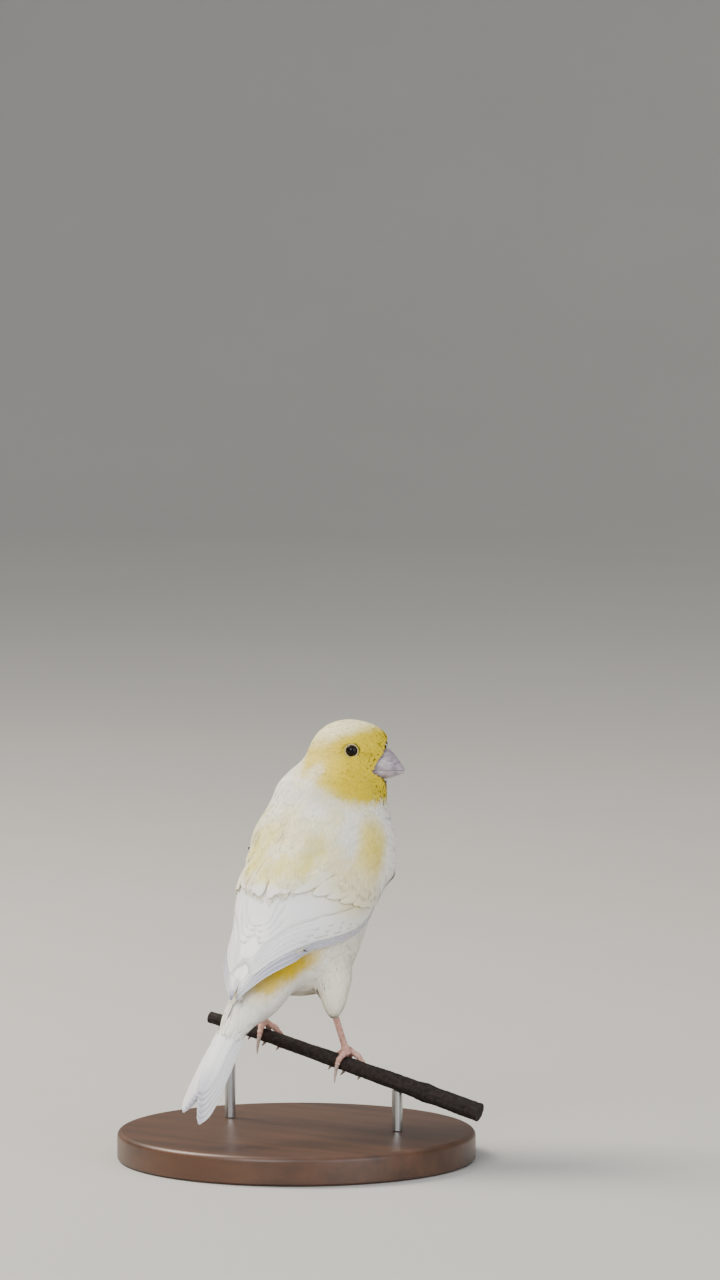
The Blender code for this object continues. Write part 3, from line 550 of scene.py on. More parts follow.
# The lie of the coat: a line through the bird from the bill to the tail, and one down each thigh
COAT_LINE = (
    (20.0, 8.6, 79.0), (17.8, 4.3, 79.0), (14.0, 2.2, 71.0), (10.5, 1.0, 60.0), (5.0, 0.0, 46.0),
    (-3.0, 0.0, 33.0), (-15.0, 0.0, 22.0), (-29.0, 0.0, 12.5), (-45.0, 0.0, -5.0),
)
LINE_STEPS = 72
LINE_REACH = 6.5
THIGH_REACH = 4.2


@lru_cache(maxsize=None)
def coat_line():
    """Places and directions along the line through the bird."""
    line = [in_head(13.0, 0.0, -2.0)] + [spot(*p) for p in COAT_LINE]
    places = np.array([curve(line, i / LINE_STEPS) for i in range(LINE_STEPS + 1)])
    return places, unit(np.gradient(places, axis=0))


def foot_top(side):
    """The middle of the foot, over the top of the perch."""
    along = FOOT_ALONG[side]
    return perch_place(along, FOOT_SPIN, perch_radius(along) + GAP + ANKLE_RADIUS)


def leg_line(side):
    """Foot, top of the bare shank and knee of a leg, and the lean of its shank."""
    foot = foot_top(side)
    lean = unit(way(SHANK_LEAN[0], side * SHANK_LEAN[1], SHANK_LEAN[2]))
    bare = foot + lean * BARE_LENGTH
    knee = bare + way(THIGH_RISE[0], side * THIGH_RISE[1], THIGH_RISE[2])
    return foot, bare, knee, lean


def lie_of_coat(places, normals):
    """The directions in which feathers lie, along the surface."""
    line, ahead = coat_line()
    reach = [LINE_REACH] * len(line)
    for side in SIDES:
        _, bare, knee, _ = leg_line(side)
        steps = np.linspace(0.0, 0.8, 6)[:, None]
        line = np.concatenate([line, bare + (knee - bare) * steps])
        ahead = np.concatenate([ahead, np.repeat(unit(bare - knee)[None], len(steps), axis=0)])
        reach += [THIGH_REACH] * len(steps)
    near = ((places[:, None] - line) ** 2).sum(2) / (2 * np.array(reach) ** 2)
    weight = np.exp(-(near - near.min(1, keepdims=True)))
    flow = weight @ ahead
    flow -= normals * (flow * normals).sum(1, keepdims=True)
    return unit(flow + 1e-9)


def unwrap(places):
    """The skin's own unwrap: how far along the bird a place lies, and at what angle round it."""
    line, ahead = coat_line()
    near = ((places[:, None] - line) ** 2).sum(2).argmin(1)
    right = way(0, 1, 0) - ahead[near] * (ahead[near] @ way(0, 1, 0))[:, None]
    right = unit(right)
    dorsal = np.cross(right, ahead[near])
    away = places - line[near]
    share = near + (away * ahead[near]).sum(1) * LINE_STEPS / 160.0
    angle = np.arctan2((away * right).sum(1), -(away * dorsal).sum(1)) / (2 * math.pi) + 0.5
    return np.stack([0.03 + 0.9 * angle, np.clip(0.02 + 0.96 * share / LINE_STEPS, 0.0, 1.0)], axis=1)


Bed = namedtuple("Bed", "tree places normals faces")


@lru_cache(maxsize=None)
def coat_bed():
    """The surface that the coat grows from, over the body and the upper parts of the folded wings."""
    bm = flesh_bmesh(True, TAIL_BED, BED_VOXEL, BED_SMOOTHING, coat_depth)
    bm.verts.ensure_lookup_table()
    bm.faces.ensure_lookup_table()
    tree = BVHTree.FromBMesh(bm)
    places = np.array([v.co for v in bm.verts])
    normals = np.array([v.normal for v in bm.verts])
    faces = [tuple(v.index for v in f.verts) for f in bm.faces]
    bm.free()
    corners = np.array([face for face in faces if len(face) == 4])
    for _ in range(NORMAL_SMOOTHING):
        around = np.repeat(unit(normals[corners].sum(1))[:, None], 4, axis=1)
        summed = np.zeros_like(normals)
        np.add.at(summed, corners, around)
        normals = unit(summed + 1e-9)
    return Bed(tree, places, normals, faces)


def settled(points):
    """The nearest places on the bed to points, and the smooth normals there."""
    bed = coat_bed()
    places = np.empty_like(points)
    normals = np.empty_like(points)
    for i, point in enumerate(points):
        found, _, face, _ = bed.tree.find_nearest(point)
        corners = list(bed.faces[face])
        away = np.linalg.norm(bed.places[corners] - found, axis=1)
        weight = 1 / (away + 0.05)
        places[i] = found
        normals[i] = weight @ bed.normals[corners]
    return places, unit(normals)


# The folded wing: a smooth bed over the back, and the chart of the wing on it
def masses(side):
    """The body with the ridge that the folded wings lie on, as centres and scaling rows."""
    found = []
    for place, radii, pitch in TORSO_MASSES:
        found.append((spot(*place), np.array([d / r for d, r in zip(turned(pitch), radii)])))
    flip = np.array([side, 1.0, 1.0])
    base = PERCH_TOP * np.array([1.0, 0.0, 0.0])
    return [((centre - base) * flip + base, rows * flip) for centre, rows in found]


def field(points, bodies):
    """How far points lie outside the smooth union of the masses, nearly, in millimetres."""
    total = 0.0
    for centre, rows in bodies:
        scaled = (points - centre) @ rows.T + 1e-9
        reach = np.linalg.norm(scaled, axis=1)
        slope = np.linalg.norm(scaled @ rows, axis=1) / reach
        total = total + np.exp(-(reach - 1.0) / slope / SOFTNESS)
    return -SOFTNESS * np.log(total)


def outward(points, bodies, step=0.05):
    """The unit directions in which the field grows fastest."""
    moves = np.eye(3) * step
    slopes = np.stack([field(points + m, bodies) - field(points - m, bodies) for m in moves], axis=1)
    return unit(slopes)


def cast(origins, directions, bodies, far=34.0, step=0.5):
    """Where rays from inside the body first pass its surface."""
    inner = np.zeros(len(origins))
    found = np.zeros(len(origins), bool)
    outer = np.full(len(origins), far)
    for reach in np.arange(step, far, step):
        outside = field(origins + reach * directions, bodies) > 0
        newly = outside & ~found
        inner[newly], outer[newly] = reach - step, reach
        found |= outside
    for _ in range(14):
        middle = (inner + outer) / 2
        inside = field(origins + middle[:, None] * directions, bodies) <= 0
        inner, outer = np.where(inside, middle, inner), np.where(inside, outer, middle)
    return origins + inner[:, None] * directions


def on_bed(points, bodies):
    """Points moved square to the wing's axis onto the bed, and the normals there."""
    along = turned(WING_AXIS_PITCH)[0]
    foot = spot(*WING_AXIS_FOOT)
    origins = foot + np.outer((points - foot) @ along, along)
    surface = cast(origins, unit(points - origins), bodies)
    return surface, outward(surface, bodies)


def wing_place(x, y):
    """A rough place on the right wing: x from the wrist to the tip, y from the lower edge to the back."""
    lower = curve([spot(*p) for p in WING_LOWER], x)
    upper = curve([spot(*p) for p in WING_UPPER], x)
    return lower + (upper - lower) * y


def mirrored(points, side):
    """Places of the right wing on the wing of this side."""
    base = np.array([PERCH_TOP[0], 0.0, 0.0])
    return (points - base) * np.array([side, 1.0, 1.0]) + base


# Where the flight feathers show: past this x at each y of the chart no small feathers grow
FLIGHT_EDGE = ((-0.02, 0.08), (0.15, 0.15), (0.4, 0.21), (0.7, 0.28), (0.85, 0.35), (1.1, 0.4))


@lru_cache(maxsize=None)
def wing_chart():
    """Places of the chart of the right wing, with the x and y of each."""
    cells = [(x, y) for x in np.linspace(-0.1, 1.1, 61) for y in np.linspace(-0.12, 1.0, 41)]
    rough = np.array([wing_place(x, y) for x, y in cells])
    places, normals = on_bed(rough, masses(1))
    return places + normals * 1.2, np.array(cells)


def flight_lead(places):
    """How far each place lies past the edge where the flight feathers show, as a share of the wing."""
    chart, cells = wing_chart()
    found = np.full(len(places), -1.0)
    edge = np.array(FLIGHT_EDGE)
    for side in SIDES:
        tree = KDTree(len(chart))
        for i, place in enumerate(mirrored(chart, side)):
            tree.insert(place, i)
        tree.balance()
        for i, place in enumerate(places):
            _, nearest, away = tree.find(place)
            x, y = cells[nearest]
            if away < 4.5 and y > -0.03:
                found[i] = max(found[i], x - np.interp(y, edge[:, 0], edge[:, 1]))
    return found


# Markings
def blob(parts, place, radii):
    """From 1 at a place to 0 past the radii round it, softly; the same on both sides of the bird."""
    forward, right, up = parts
    place = np.array(place)
    radii = np.array(radii)
    away = np.stack([forward - place[0], np.abs(right) - abs(place[1]), up - place[2]]) / radii[:, None]
    return 1 - eased(np.linalg.norm(away, axis=0), 0.45, 1.25)


def patches(places, size, seed):
    """An uneven cloud from 0 to 1 with features of about this size."""
    shift = Vector((seed * 7.3, seed * 3.1, seed * 5.7))
    return np.array([0.5 + 0.5 * noise.noise(Vector(p) / size + shift) for p in places])


# Soft yellow patches on the body: place, radii, and strength of the pale and of the golden yellow in them
BODY_PATCHES = (
    ((6.5, 19.9, 57.5), (6.2, 6.0, 6.8), 0.7, 0.6),
    ((4.0, 19.5, 50.5), (5.6, 5.0, 4.8), 0.6, 0.7),
    ((-2.5, 17.7, 48.4), (4.2, 4.0, 3.0), 0.6, 0.5),
    ((-2.8, 12.8, 62.6), (3.0, 4.0, 2.6), 0.6, 0.1),
    ((-6.6, 10.4, 54.0), (4.5, 4.5, 4.5), 0.75, 0.08),
    ((-13.1, 8.2, 49.5), (4.5, 4.0, 4.5), 0.8, 0.16),
    ((-15.5, 2.6, 48.3), (4.0, 3.5, 4.0), 0.75, 0.12),
    ((-9.5, 4.5, 58.0), (6.0, 6.0, 6.0), 0.4, 0.0),
)
FLANK_PATCHES = (
    ((-15.5, 10.2, 24.6), (4.8, 5.5, 4.2), 1.0),
    ((-20.5, 7.0, 21.8), (6.0, 5.5, 4.2), 1.0),
    ((-26.0, 4.6, 18.0), (5.5, 5.0, 3.8), 0.85),
)


def markings(places):
    """Colours of the plumage at places, linear; the skin and the coat carry the same."""
    look = bpy.context.scene.canary_plumage
    tones = {key: np.array(getattr(look, key)[:3]) for key in ("cream", "gold", "deep", "pale", "beige")}
    bird = bird_parts(places)
    forward, _, up = bird
    front, side, rise = head_parts(places)
    side = np.abs(side - 1.5)
    cloud = patches(places, 5.0, 1)
    fine = patches(places, 2.2, 2)

    found = np.repeat(tones["cream"][None], len(places), axis=0)

    def lay(tone, share):
        """Lays a tone over the colours found so far."""
        share = np.clip(share, 0.0, 1.0)[:, None]
        found[:] = found * (1 - share) + tone * share

    # Pale wash over the upper back
    back = eased(-forward, -4.0, 10.0) * eased(up, 38.0, 48.0) * (1 - eased(up, 60.0, 72.0))
    lay(tones["pale"], back * (0.14 + 0.5 * eased(cloud, 0.42, 0.72)))
    for place, radii, pale, gold in BODY_PATCHES:
        spread = blob(bird, place, radii) * (0.7 + 0.3 * fine)
        lay(tones["pale"], spread * pale)
        lay(tones["gold"], spread * gold)
    # Larger coverts, beige towards the wrist
    lay(tones["beige"], blob(bird, (-3.0, 18.0, 43.5), (13.0, 9.0, 8.0)) * 0.85)
    lay(tones["gold"], blob(bird, (6.0, 19.5, 46.5), (6.0, 5.0, 3.0)) * 0.22)
    for place, radii, share in FLANK_PATCHES:
        lay(tones["deep"], blob(bird, place, radii) * share)
    # Warm cream on the belly and round the thighs
    lay(tones["pale"], 0.16 * (1 - eased(up, 24.0, 34.0)) * eased(forward, -16.0, -4.0))

    # Golden hood: below the crown, in front of the nape and above a collar that rises towards the nape
    collar = -13.2 + 0.55 * np.maximum(0.0, 1.0 - front)
    hood = eased(rise + 3.0 * (fine - 0.5), collar - 2.2, collar + 1.4)
    brim = 8.1 - 0.34 * np.maximum(0.0, 5.0 - front) + 0.35 * np.maximum(0.0, front - 5.0)
    below_crown = 1 - eased(rise + 2.6 * (fine - 0.5), brim - 2.6, brim + 1.6)
    before_nape = eased(front + 1.5 * (cloud - 0.5), -15.5, -12.0)
    mask = hood * below_crown * before_nape
    depth = 0.82 + 0.18 * eased(front, -9.0, 0.0)
    lay(tones["pale"], hood * before_nape * 0.45)
    lay(tones["gold"], mask * depth * (0.94 + 0.06 * fine))
    # A pale patch behind the ear
    parts = (front, side, rise)
    lay(tones["cream"], blob(parts, (-9.3, 13.0, -4.2), (2.7, 5.0, 5.2)) * (0.35 + 0.45 * cloud))
    # A dusky line from the eye to the bill
    lay(tones["gold"] * 0.62, blob(parts, (5.4, 6.6, 0.2), (3.0, 2.4, 1.1)) * 0.6)
    return found


def colour_mesh(mesh, colours):
    """Stores a colour at each vertex."""
    layer = mesh.attributes.new("Markings", "FLOAT_COLOR", "POINT")
    values = np.ones((len(colours), 4), np.float32)
    values[:, :3] = colours
    layer.data.foreach_set("color", values.ravel())


# Joined meshes of many like forms
@lru_cache(maxsize=None)
def blade_form(rings):
    """A three-sided closed blade: the ring and the corner of each vertex, and the triangles."""
    bm = bmesh.new()
    ring = bmesh.ops.create_circle(bm, cap_ends=True, radius=1.0, segments=3)["verts"]
    face = ring[0].link_faces[0]
    for i in range(rings + 1):
        if i:
            face = push(bm, face)
        for corner, vert in enumerate(face.verts):
            spin = 2 * math.pi * corner / 3
            width = 1.0 if i < rings else 0.0
            vert.co = (width * math.cos(spin), width * math.sin(spin), i)
    bmesh.ops.remove_doubles(bm, verts=bm.verts, dist=1e-4)
    bmesh.ops.recalc_face_normals(bm, faces=bm.faces)
    bmesh.ops.triangulate(bm, faces=bm.faces)
    form = np.array([v.co for v in bm.verts])
    bm.verts.index_update()
    triangles = np.array([[v.index for v in f.verts] for f in bm.faces])
    bm.free()
    return form, triangles


@lru_cache(maxsize=None)
def vane_form(along, across):
    """A closed sheet of two like faces: the place along, the place across and the side of each vertex."""
    bm = bmesh.new()
    bmesh.ops.create_grid(bm, x_segments=along, y_segments=across, size=0.5)
    for vert in bm.verts:
        vert.co.z = -0.1
    pushed = bmesh.ops.extrude_face_region(bm, geom=bm.faces[:])["geom"]
    for vert in [g for g in pushed if isinstance(g, bmesh.types.BMVert)]:
        vert.co.z = 0.1
    bmesh.ops.recalc_face_normals(bm, faces=bm.faces)
    bmesh.ops.triangulate(bm, faces=bm.faces)
    form = np.array([(v.co.x + 0.5, v.co.y + 0.5, 1.0 if v.co.z > 0 else 0.0) for v in bm.verts])
    bm.verts.index_update()
    triangles = np.array([[v.index for v in f.verts] for f in bm.faces])
    bm.free()
    return form, triangles


def outwards(points, triangles):
    """The triangles of a closed form, turned round where they would face inwards."""
    first, second, third = (points[triangles[:, corner]] for corner in range(3))
    volume = (first * np.cross(second, third)).sum()
    return triangles if volume > 0 else triangles[:, ::-1]


def joined_mesh(name, places, triangles, colours, uvs):
    """One mesh from many forms; uvs holds, for each UV map, a value at each vertex."""
    mesh = bpy.data.meshes.new(name)
    mesh.from_pydata(places * MM, [], triangles)
    mesh.update()
    corners = np.empty(len(mesh.loops), np.int32)
    mesh.loops.foreach_get("vertex_index", corners)
    for key, values in uvs.items():
        layer = mesh.uv_layers.new(name=key)
        layer.uv.foreach_set("vector", values[corners].astype(np.float32).ravel())
    colour_mesh(mesh, colours)
    mesh.shade_smooth()
    return mesh


def through(stops, share):
    """Values at shares along paths given at four even stops; stops is paths, stops, values."""
    t = share * 3.0
    weights = np.stack([
        -(t - 1) * (t - 2) * (t - 3) / 6, t * (t - 2) * (t - 3) / 2, -t * (t - 1) * (t - 3) / 2,
        t * (t - 1) * (t - 2) / 6,
    ])
    return np.einsum("spbr,psd->pbrd", weights, stops)


Coat = namedtuple("Coat", "roots normals lengths widths lifts")
# Feathers on the face and on the body: their spacing, width and lift
FEATHER_SPACING = (0.56, 0.78)
FEATHER_WIDTHS = (0.85, 1.6)
FEATHER_LIFTS = (0.55, 0.75)
OVER_WING_LIFT = 0.8
NEAR_FACE = 17.0
# Heights of a feather over the skin's bed as shares of its lift, and breadths of its blades along it
ROOT_SINK = 0.45
FEATHER_HEIGHTS = (0.0, 0.26, 0.44, 0.52)
BLADE_BREADTHS = (0.8, 1.0, 0.8, 0.0)
BLADE_TILT = 0.65
COAT_SEED = 21
ROOTS_SEED = 5
BLADES_SEED = 3


def feather_paths(coat):
    """Four places and four normals along each feather, from its sunk root to its lifted tip."""
    places = coat.roots
    normals = coat.normals
    path = [places - normals * ROOT_SINK]
    faces = [normals]
    for stop in (1, 2, 3):
        ahead = lie_of_coat(places, normals)
        places, normals = settled(places + ahead * (coat.lengths / 3)[:, None])
        path.append(places + normals * (FEATHER_HEIGHTS[stop] * coat.lifts)[:, None])
        faces.append(normals)
    return np.stack(path, axis=1), np.stack(faces, axis=1)


def grow(name, coat, blades, thickness, seed):
    """Feathers as fans of thin closed blades, joined into pieces of under 200,000 triangles."""
    chance = np.random.default_rng(seed)
    form, triangles = blade_form(3)
    path, faces = feather_paths(coat)
    count = len(coat.roots)
    sizes = len(form)
    rings = form[:, 2] / 3
    shape = np.array(BLADE_BREADTHS)[np.round(form[:, 2]).astype(int)]
    corner = np.arctan2(form[:, 1], form[:, 0])
    wide = np.where(shape > 0, np.cos(corner + math.pi / 2), 0.0)
    high = np.where(shape > 0, np.sin(corner + math.pi / 2), 0.0)
    fan = np.linspace(-1.0, 1.0, blades)
    fan = fan[None] + chance.uniform(-0.12, 0.12, (count, blades))
    reach = 1 - 0.26 * np.abs(fan) ** 1.7 + chance.uniform(-0.08, 0.05, (count, blades))
    share = np.clip(reach[:, :, None] * rings, 0.0, 1.0)
    places = through(path, share)
    normals = unit(through(faces, share))
    ahead = unit(through(path, np.clip(share + 0.04, 0, 1.05)) - through(path, share - 0.04))
    side = unit(np.cross(ahead, normals))
    spread = 0.3 + 0.7 * np.sin(np.clip(share / 0.7, 0, 1) * math.pi / 2)
    offset = fan[:, :, None] * spread * coat.widths[:, None, None] / 2
    sink = -0.06 * fan[:, :, None] ** 2 * share * coat.widths[:, None, None] / 2
    sink = sink + chance.uniform(-0.015, 0.02, (count, blades))[:, :, None] * share
    breadth = 1.2 * coat.widths / blades
    breadth = breadth[:, None, None] * shape * wide + offset
    places = places + side * breadth[..., None] + normals * (thickness * shape * high + sink)[..., None]

    triangles = outwards(places[0, 0], triangles)
    # The shading follows the smooth body more than each blade, as light does in soft plumage
    facing = unit(normals + BLADE_TILT * side * wide[:, None])
    first = markings(path[:, 1])[:, None, None, :]
    last = markings(path[:, 3])[:, None, None, :]
    along = first + (last - first) * share[..., None]
    tone = chance.normal(1.0, 0.028, (count, 1, 1, 1)) * chance.normal(1.0, 0.02, (count, blades, 1, 1))
    # Darker towards the root: partly the greyer down at a feather's base, partly painted shade among the
    # roots
    depth = 0.9 + 0.1 * eased(share, 0.1, 0.7)
    colours = np.clip(along * tone * depth[..., None], 0.0, 0.95)
    base = unwrap(coat.roots)
    patch = np.stack([fan[:, :, None] * np.ones_like(share), share * 2 - 1], axis=-1) * 0.0015
    uv = base[:, None, None, :] + patch

    pieces = []
    per_piece = 190000 // (blades * len(triangles))
    order = np.argsort(coat.roots[:, 2])
    for number, start in enumerate(range(0, count, per_piece), 1):
        part = order[start : start + per_piece]
        total = len(part) * blades
        index = (np.arange(total)[:, None, None] * sizes + triangles).reshape(-1, 3)
        mesh = joined_mesh(
            f"{name}_{number}", places[part].reshape(-1, 3), index, colours[part].reshape(-1, 3),
            {"OFBake": uv[part].reshape(-1, 2)},
        )
        mesh.normals_split_custom_set_from_vertices(facing[part].reshape(-1, 3).tolist())
        pieces.append(on_body(f"{name}_{number}", mesh, feather_material()))
    return pieces


def thinned(places, spacing, seed):
    """Which places stay when each keeps its neighbours out to its own spacing."""
    tree = KDTree(len(places))
    for i, place in enumerate(places):
        tree.insert(place, i)
    tree.balance()
    free = np.ones(len(places), bool)
    kept = []
    for i in np.random.default_rng(seed).permutation(len(places)):
        if free[i]:
            kept.append(i)
            for _, near, _ in tree.find_range(places[i], spacing[i]):
                free[near] = False
    return np.array(kept)


def box_middle(node):
    """The middle of a CAD node in millimetres."""
    low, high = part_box(node)
    return np.array((low + high) / 2) / MM


# The edge of the feathers round the bill: heights in the head, and how far forward the bill shows there
BILL_EDGE = ((-7.2, 9.8), (-4.6, 6.6), (1.3, 9.9))
EYE_BARE = 2.35
EYE_CLEAR = 2.15
SHORTEST = 0.5


def over_bill(places):
    """How far each place lies past the edge of the feathers, over the bill."""
    front, _, rise = head_parts(places)
    edge = np.array(BILL_EDGE)
    away = np.linalg.norm(places - in_head(9.5, 0.0, -3.0), axis=1)
    return np.minimum(front - np.interp(rise, edge[:, 0], edge[:, 1]), 7.0 - away)


def clear_of_eyes(roots, normals, lengths):
    """Lengths, cut short where a feather would lie over the rim of an eye."""
    ahead = lie_of_coat(roots, normals)
    for side in SIDES.values():
        away = roots - box_middle(f"eye_{side}")
        along = (away * ahead).sum(1)
        apart = (away**2).sum(1) - along**2
        reach = -along - np.sqrt(np.maximum(EYE_CLEAR**2 - apart, 0.0))
        meets = (apart < EYE_CLEAR**2) & (along < 0) & (reach < lengths)
        lengths = np.where(meets, np.maximum(reach, SHORTEST), lengths)
    return lengths


def coat_roots():
    """Places of the coat's feathers, with their normals and how far each lies from the face."""
    bed = coat_bed()
    places, normals = bed.places, bed.normals
    lead = flight_lead(places)
    keep = lead <= 0
    for side in SIDES.values():
        keep &= np.linalg.norm(places - box_middle(f"eye_{side}"), axis=1) > EYE_BARE
    front = head_parts(places)[0]
    solid = BVHTree.FromBMesh(cad_copy(("bill_upper", "bill_lower")))
    away = np.array([solid.find_nearest(place)[3] for place in places])
    bill = (front > BILL_BACK) & (away < FACE_DEPTH + 0.3)
    keep &= ~bill & (over_bill(places) < 0.0)
    along = tail_frame()[0]
    keep &= (places - spot(*TAIL_ROOT)) @ along < TAIL_STUMP - 2.0
    face = np.linalg.norm(places - in_head(6.0, 0.0, -2.0), axis=1)
    body = eased(face, 9.0, 30.0)
    spacing = between(FEATHER_SPACING, body)
    index = np.nonzero(keep)[0]
    index = index[thinned(places[index], spacing[index], ROOTS_SEED)]
    return places[index], normals[index], face[index], lead[index]


# Pieces
def skin_object():
    """The skin under the coat, from the bill to the tail's root, with the coat's own markings."""
    def skin_depth(places):
        """Depth of the skin inside the solids, with a step down where the bill comes out."""
        return coat_depth(places) + 0.25 + 1.5 * eased(over_bill(places), -0.3, 0.5)

    bm = flesh_bmesh(False, TAIL_STUMP, 0.7, 25, skin_depth)
    bm.verts.ensure_lookup_table()
    places = np.array([v.co for v in bm.verts])
    values = unwrap(places)
    layer = bm.loops.layers.uv.new("OFBake")
    for face in bm.faces:
        found = [values[v.index] for v in face.verts]
        wraps = max(f[0] for f in found) - min(f[0] for f in found) > 0.45
        for loop, value in zip(face.loops, found):
            shift = 0.9 if wraps and value[0] < 0.45 else 0.0
            loop[layer].uv = (min(value[0] + shift, 1.0), value[1])
    material = skin_material()
    piece = finished("skin", bm, material, FLESH)
    colour_mesh(piece.data, markings(places) * 0.92)
    return piece


@lru_cache(maxsize=None)
def skin_material():
    """Skin and down between the feathers' roots: matt, in the coat's tones."""
    material, tree, shader = new_material("downy_skin", Roughness=0.8, IOR=1.4, Specular_IOR_Level=0.25)
    tone = add_node(tree, "ShaderNodeAttribute", attribute_name="Markings")
    where = add_node(tree, "ShaderNodeTexCoord")
    down = add_node(
        tree, "ShaderNodeTexNoise", {"Vector": where.outputs["Object"], "Scale": 1400.0, "Detail": 4.0}
    )
    tinted(tree, shader, tone.outputs["Color"], down.outputs["Fac"], 0.86, 1.0)
    return material


class CANARY_OT_skin(bpy.types.Operator):
    """Make the skin that lies under the coat"""

    bl_idname = "canary.skin"
    bl_label = "Skin"

    def execute(self, context):
        skin_object()
        return {"FINISHED"}


class CANARY_OT_coat(bpy.types.Operator):
    """Grow the small feathers of the head, the body and the wings' upper parts"""

    bl_idname = "canary.coat"
    bl_label = "Coat of small feathers"

    def execute(self, context):
        look = context.scene.canary_plumage
        roots, normals, face, lead = coat_roots()
        chance = np.random.default_rng(COAT_SEED)
        body = eased(face, 7.0, 26.0)
        lengths = look.head_length / MM * (0.55 + 0.45 * eased(face, 4.0, 9.0))
        lengths = lengths + (look.body_length / MM - lengths) * body
        forward, _, up = bird_parts(roots)
        stump = eased((roots - spot(*TAIL_ROOT)) @ tail_frame()[0], -6.0, 4.0)
        mantle = eased(-forward, 6.0, 14.0) * eased(up, 38.0, 46.0)
        lengths = lengths * (1 + 0.25 * mantle + 0.5 * stump)
        lengths = lengths * chance.uniform(0.88 - 0.3 * stump, 1.12 + 0.4 * stump)
        lengths = clear_of_eyes(roots, normals, lengths)
        widths = between(FEATHER_WIDTHS, body)
        over_wing = eased(lead, -0.2, -0.03)
        lifts = (between(FEATHER_LIFTS, body) + OVER_WING_LIFT * over_wing) * (1 - 0.5 * stump)
        lifts = lifts * chance.uniform(0.94, 1.06, len(roots))
        near = face < NEAR_FACE
        kinds = (("head_feathers", near, 5, 0.04), ("body_feathers", ~near, 6, 0.045))
        for name, part, blades, thickness in kinds:
            coat = Coat(roots[part], normals[part], lengths[part], widths[part], lifts[part])
            grow(name, coat, blades, thickness, BLADES_SEED)
        return {"FINISHED"}


# Vanes of the wing and the tail: a share of the length, and the breadth there
FLIGHT_FORM = ((0.0, 0.5), (0.2, 0.86), (0.5, 1.0), (0.78, 0.96), (0.9, 0.78), (0.97, 0.45), (1.0, 0.08))
COVERT_FORM = ((0.0, 0.6), (0.3, 0.92), (0.6, 1.0), (0.82, 0.86), (0.94, 0.5), (1.0, 0.08))
# A tier's edge is how much painted shade, in lavender grey, lies on its vanes' inner webs
Tier = namedtuple("Tier", "count form roots tips breadths top lift bulge edge", defaults=(0.0, 0.0))
WING_TIERS = {
    "primary": Tier(7, FLIGHT_FORM, ((0.12, 0.03), (0.18, 0.2)), ((0.96, 0.13), (0.93, 0.93)), (3.2, 4.6),
                    0.95, 0.5, 0.03, 1.0),
    "secondary": Tier(8, FLIGHT_FORM, ((0.14, 0.26), (0.30, 0.60)), ((0.86, 0.40), (0.80, 0.96)), (4.8, 6.6),
                      1.3, 0.3, 0.0, 0.1),
    "tertial": Tier(4, FLIGHT_FORM, ((0.25, 0.54), (0.31, 0.9)), ((0.70, 0.74), (0.60, 0.97)), (7.4, 7.6),
                    1.65, 0.22, 0.0, 0.04),
    "primary_covert": Tier(4, COVERT_FORM, ((0.07, 0.04), (0.10, 0.12)), ((0.30, 0.06), (0.36, 0.15)),
                           (2.4, 2.8), 1.5, 0.35, 0.0, 0.5),
    "greater_covert": Tier(15, COVERT_FORM, ((0.10, 0.11), (0.26, 0.88)), ((0.33, 0.16), (0.46, 0.92)),
                           (3.6, 4.2), 1.6, 0.2, 0.0, 0.04),
}
WING_SEEDS = {1: 7, -1: 11}
VANE_CELLS = (20, 6)
VANE_THICK = 0.1
TIER_STEP = 0.035
CORE_START = (0.16, 0.2)
CORE_SIZE = (0.6, 0.77)
CORE_GAP = 0.1
CORE_THICK = 0.6
CAMBER = 0.12
RACHIS = 0.09


def form_breadths(form, shares):
    """Breadths of a vane at shares of its length, as parts of its widest."""
    stops = np.array(form)
    return np.interp(shares, stops[:, 0], stops[:, 1])


def vane_colours(places, across, along, edge):
    """White vanes over the plumage's markings, with painted shade in lavender grey on the inner webs and
    bright outer edges left without it.
    """
    look = bpy.context.scene.canary_plumage
    white = np.array(look.white[:3])
    shade_lavender = np.array(look.shade_lavender[:3])
    ground = markings(places)
    forward, _, up = bird_parts(places)
    flight = eased(-forward, 4.0, 15.0) * (1 - eased(up, 40.0, 50.0))
    ground = ground + (white - ground) * flight[:, None]
    # Painted shade over the inner web, as much as edge asks, a little more towards the tip
    inner = eased(across, 0.07, 0.17) * edge * (0.75 + 0.25 * along)
    return ground + (shade_lavender - ground) * inner[:, None]


class Sheaf:
    """Vanes and shafts gathered for one mesh, each in its own cell of the baking map."""

    def __init__(self, row, room, breadth):
        self.row = row
        self.room = room
        self.breadth = breadth
        self.count = 0
        self.places, self.faces, self.colours, self.vane_uv, self.bake_uv = [], [], [], [], []

    def add(self, points, index, tone, local):
        """Adds one closed form with its colours and its own places across and along, in millimetres."""
        number = len(self.places)
        cell = np.array([number % self.row, number // self.row]) / self.room
        span = local.max(0) - local.min(0) + 1e-6
        self.faces.append(outwards(points, index) + self.count)
        self.places.append(points)
        self.colours.append(tone)
        self.vane_uv.append(local * MM)
        self.bake_uv.append(cell + (local - local.min(0)) / span * self.breadth)
        self.count += len(points)

    def piece(self, name, node, side=1):
        """The gathered forms as one object in a node's place, mirrored for the left side."""
        points = np.concatenate(self.places)
        index = np.concatenate(self.faces)
        if side < 0:
            points, index = mirrored(points, side), index[:, ::-1]
        mesh = joined_mesh(
            name, points, index, np.clip(np.concatenate(self.colours), 0.0, 0.95),
            {"OFBake": np.concatenate(self.bake_uv), "Vane": np.concatenate(self.vane_uv)},
        )
        return on_body(name, mesh, vane_material(), (node,))


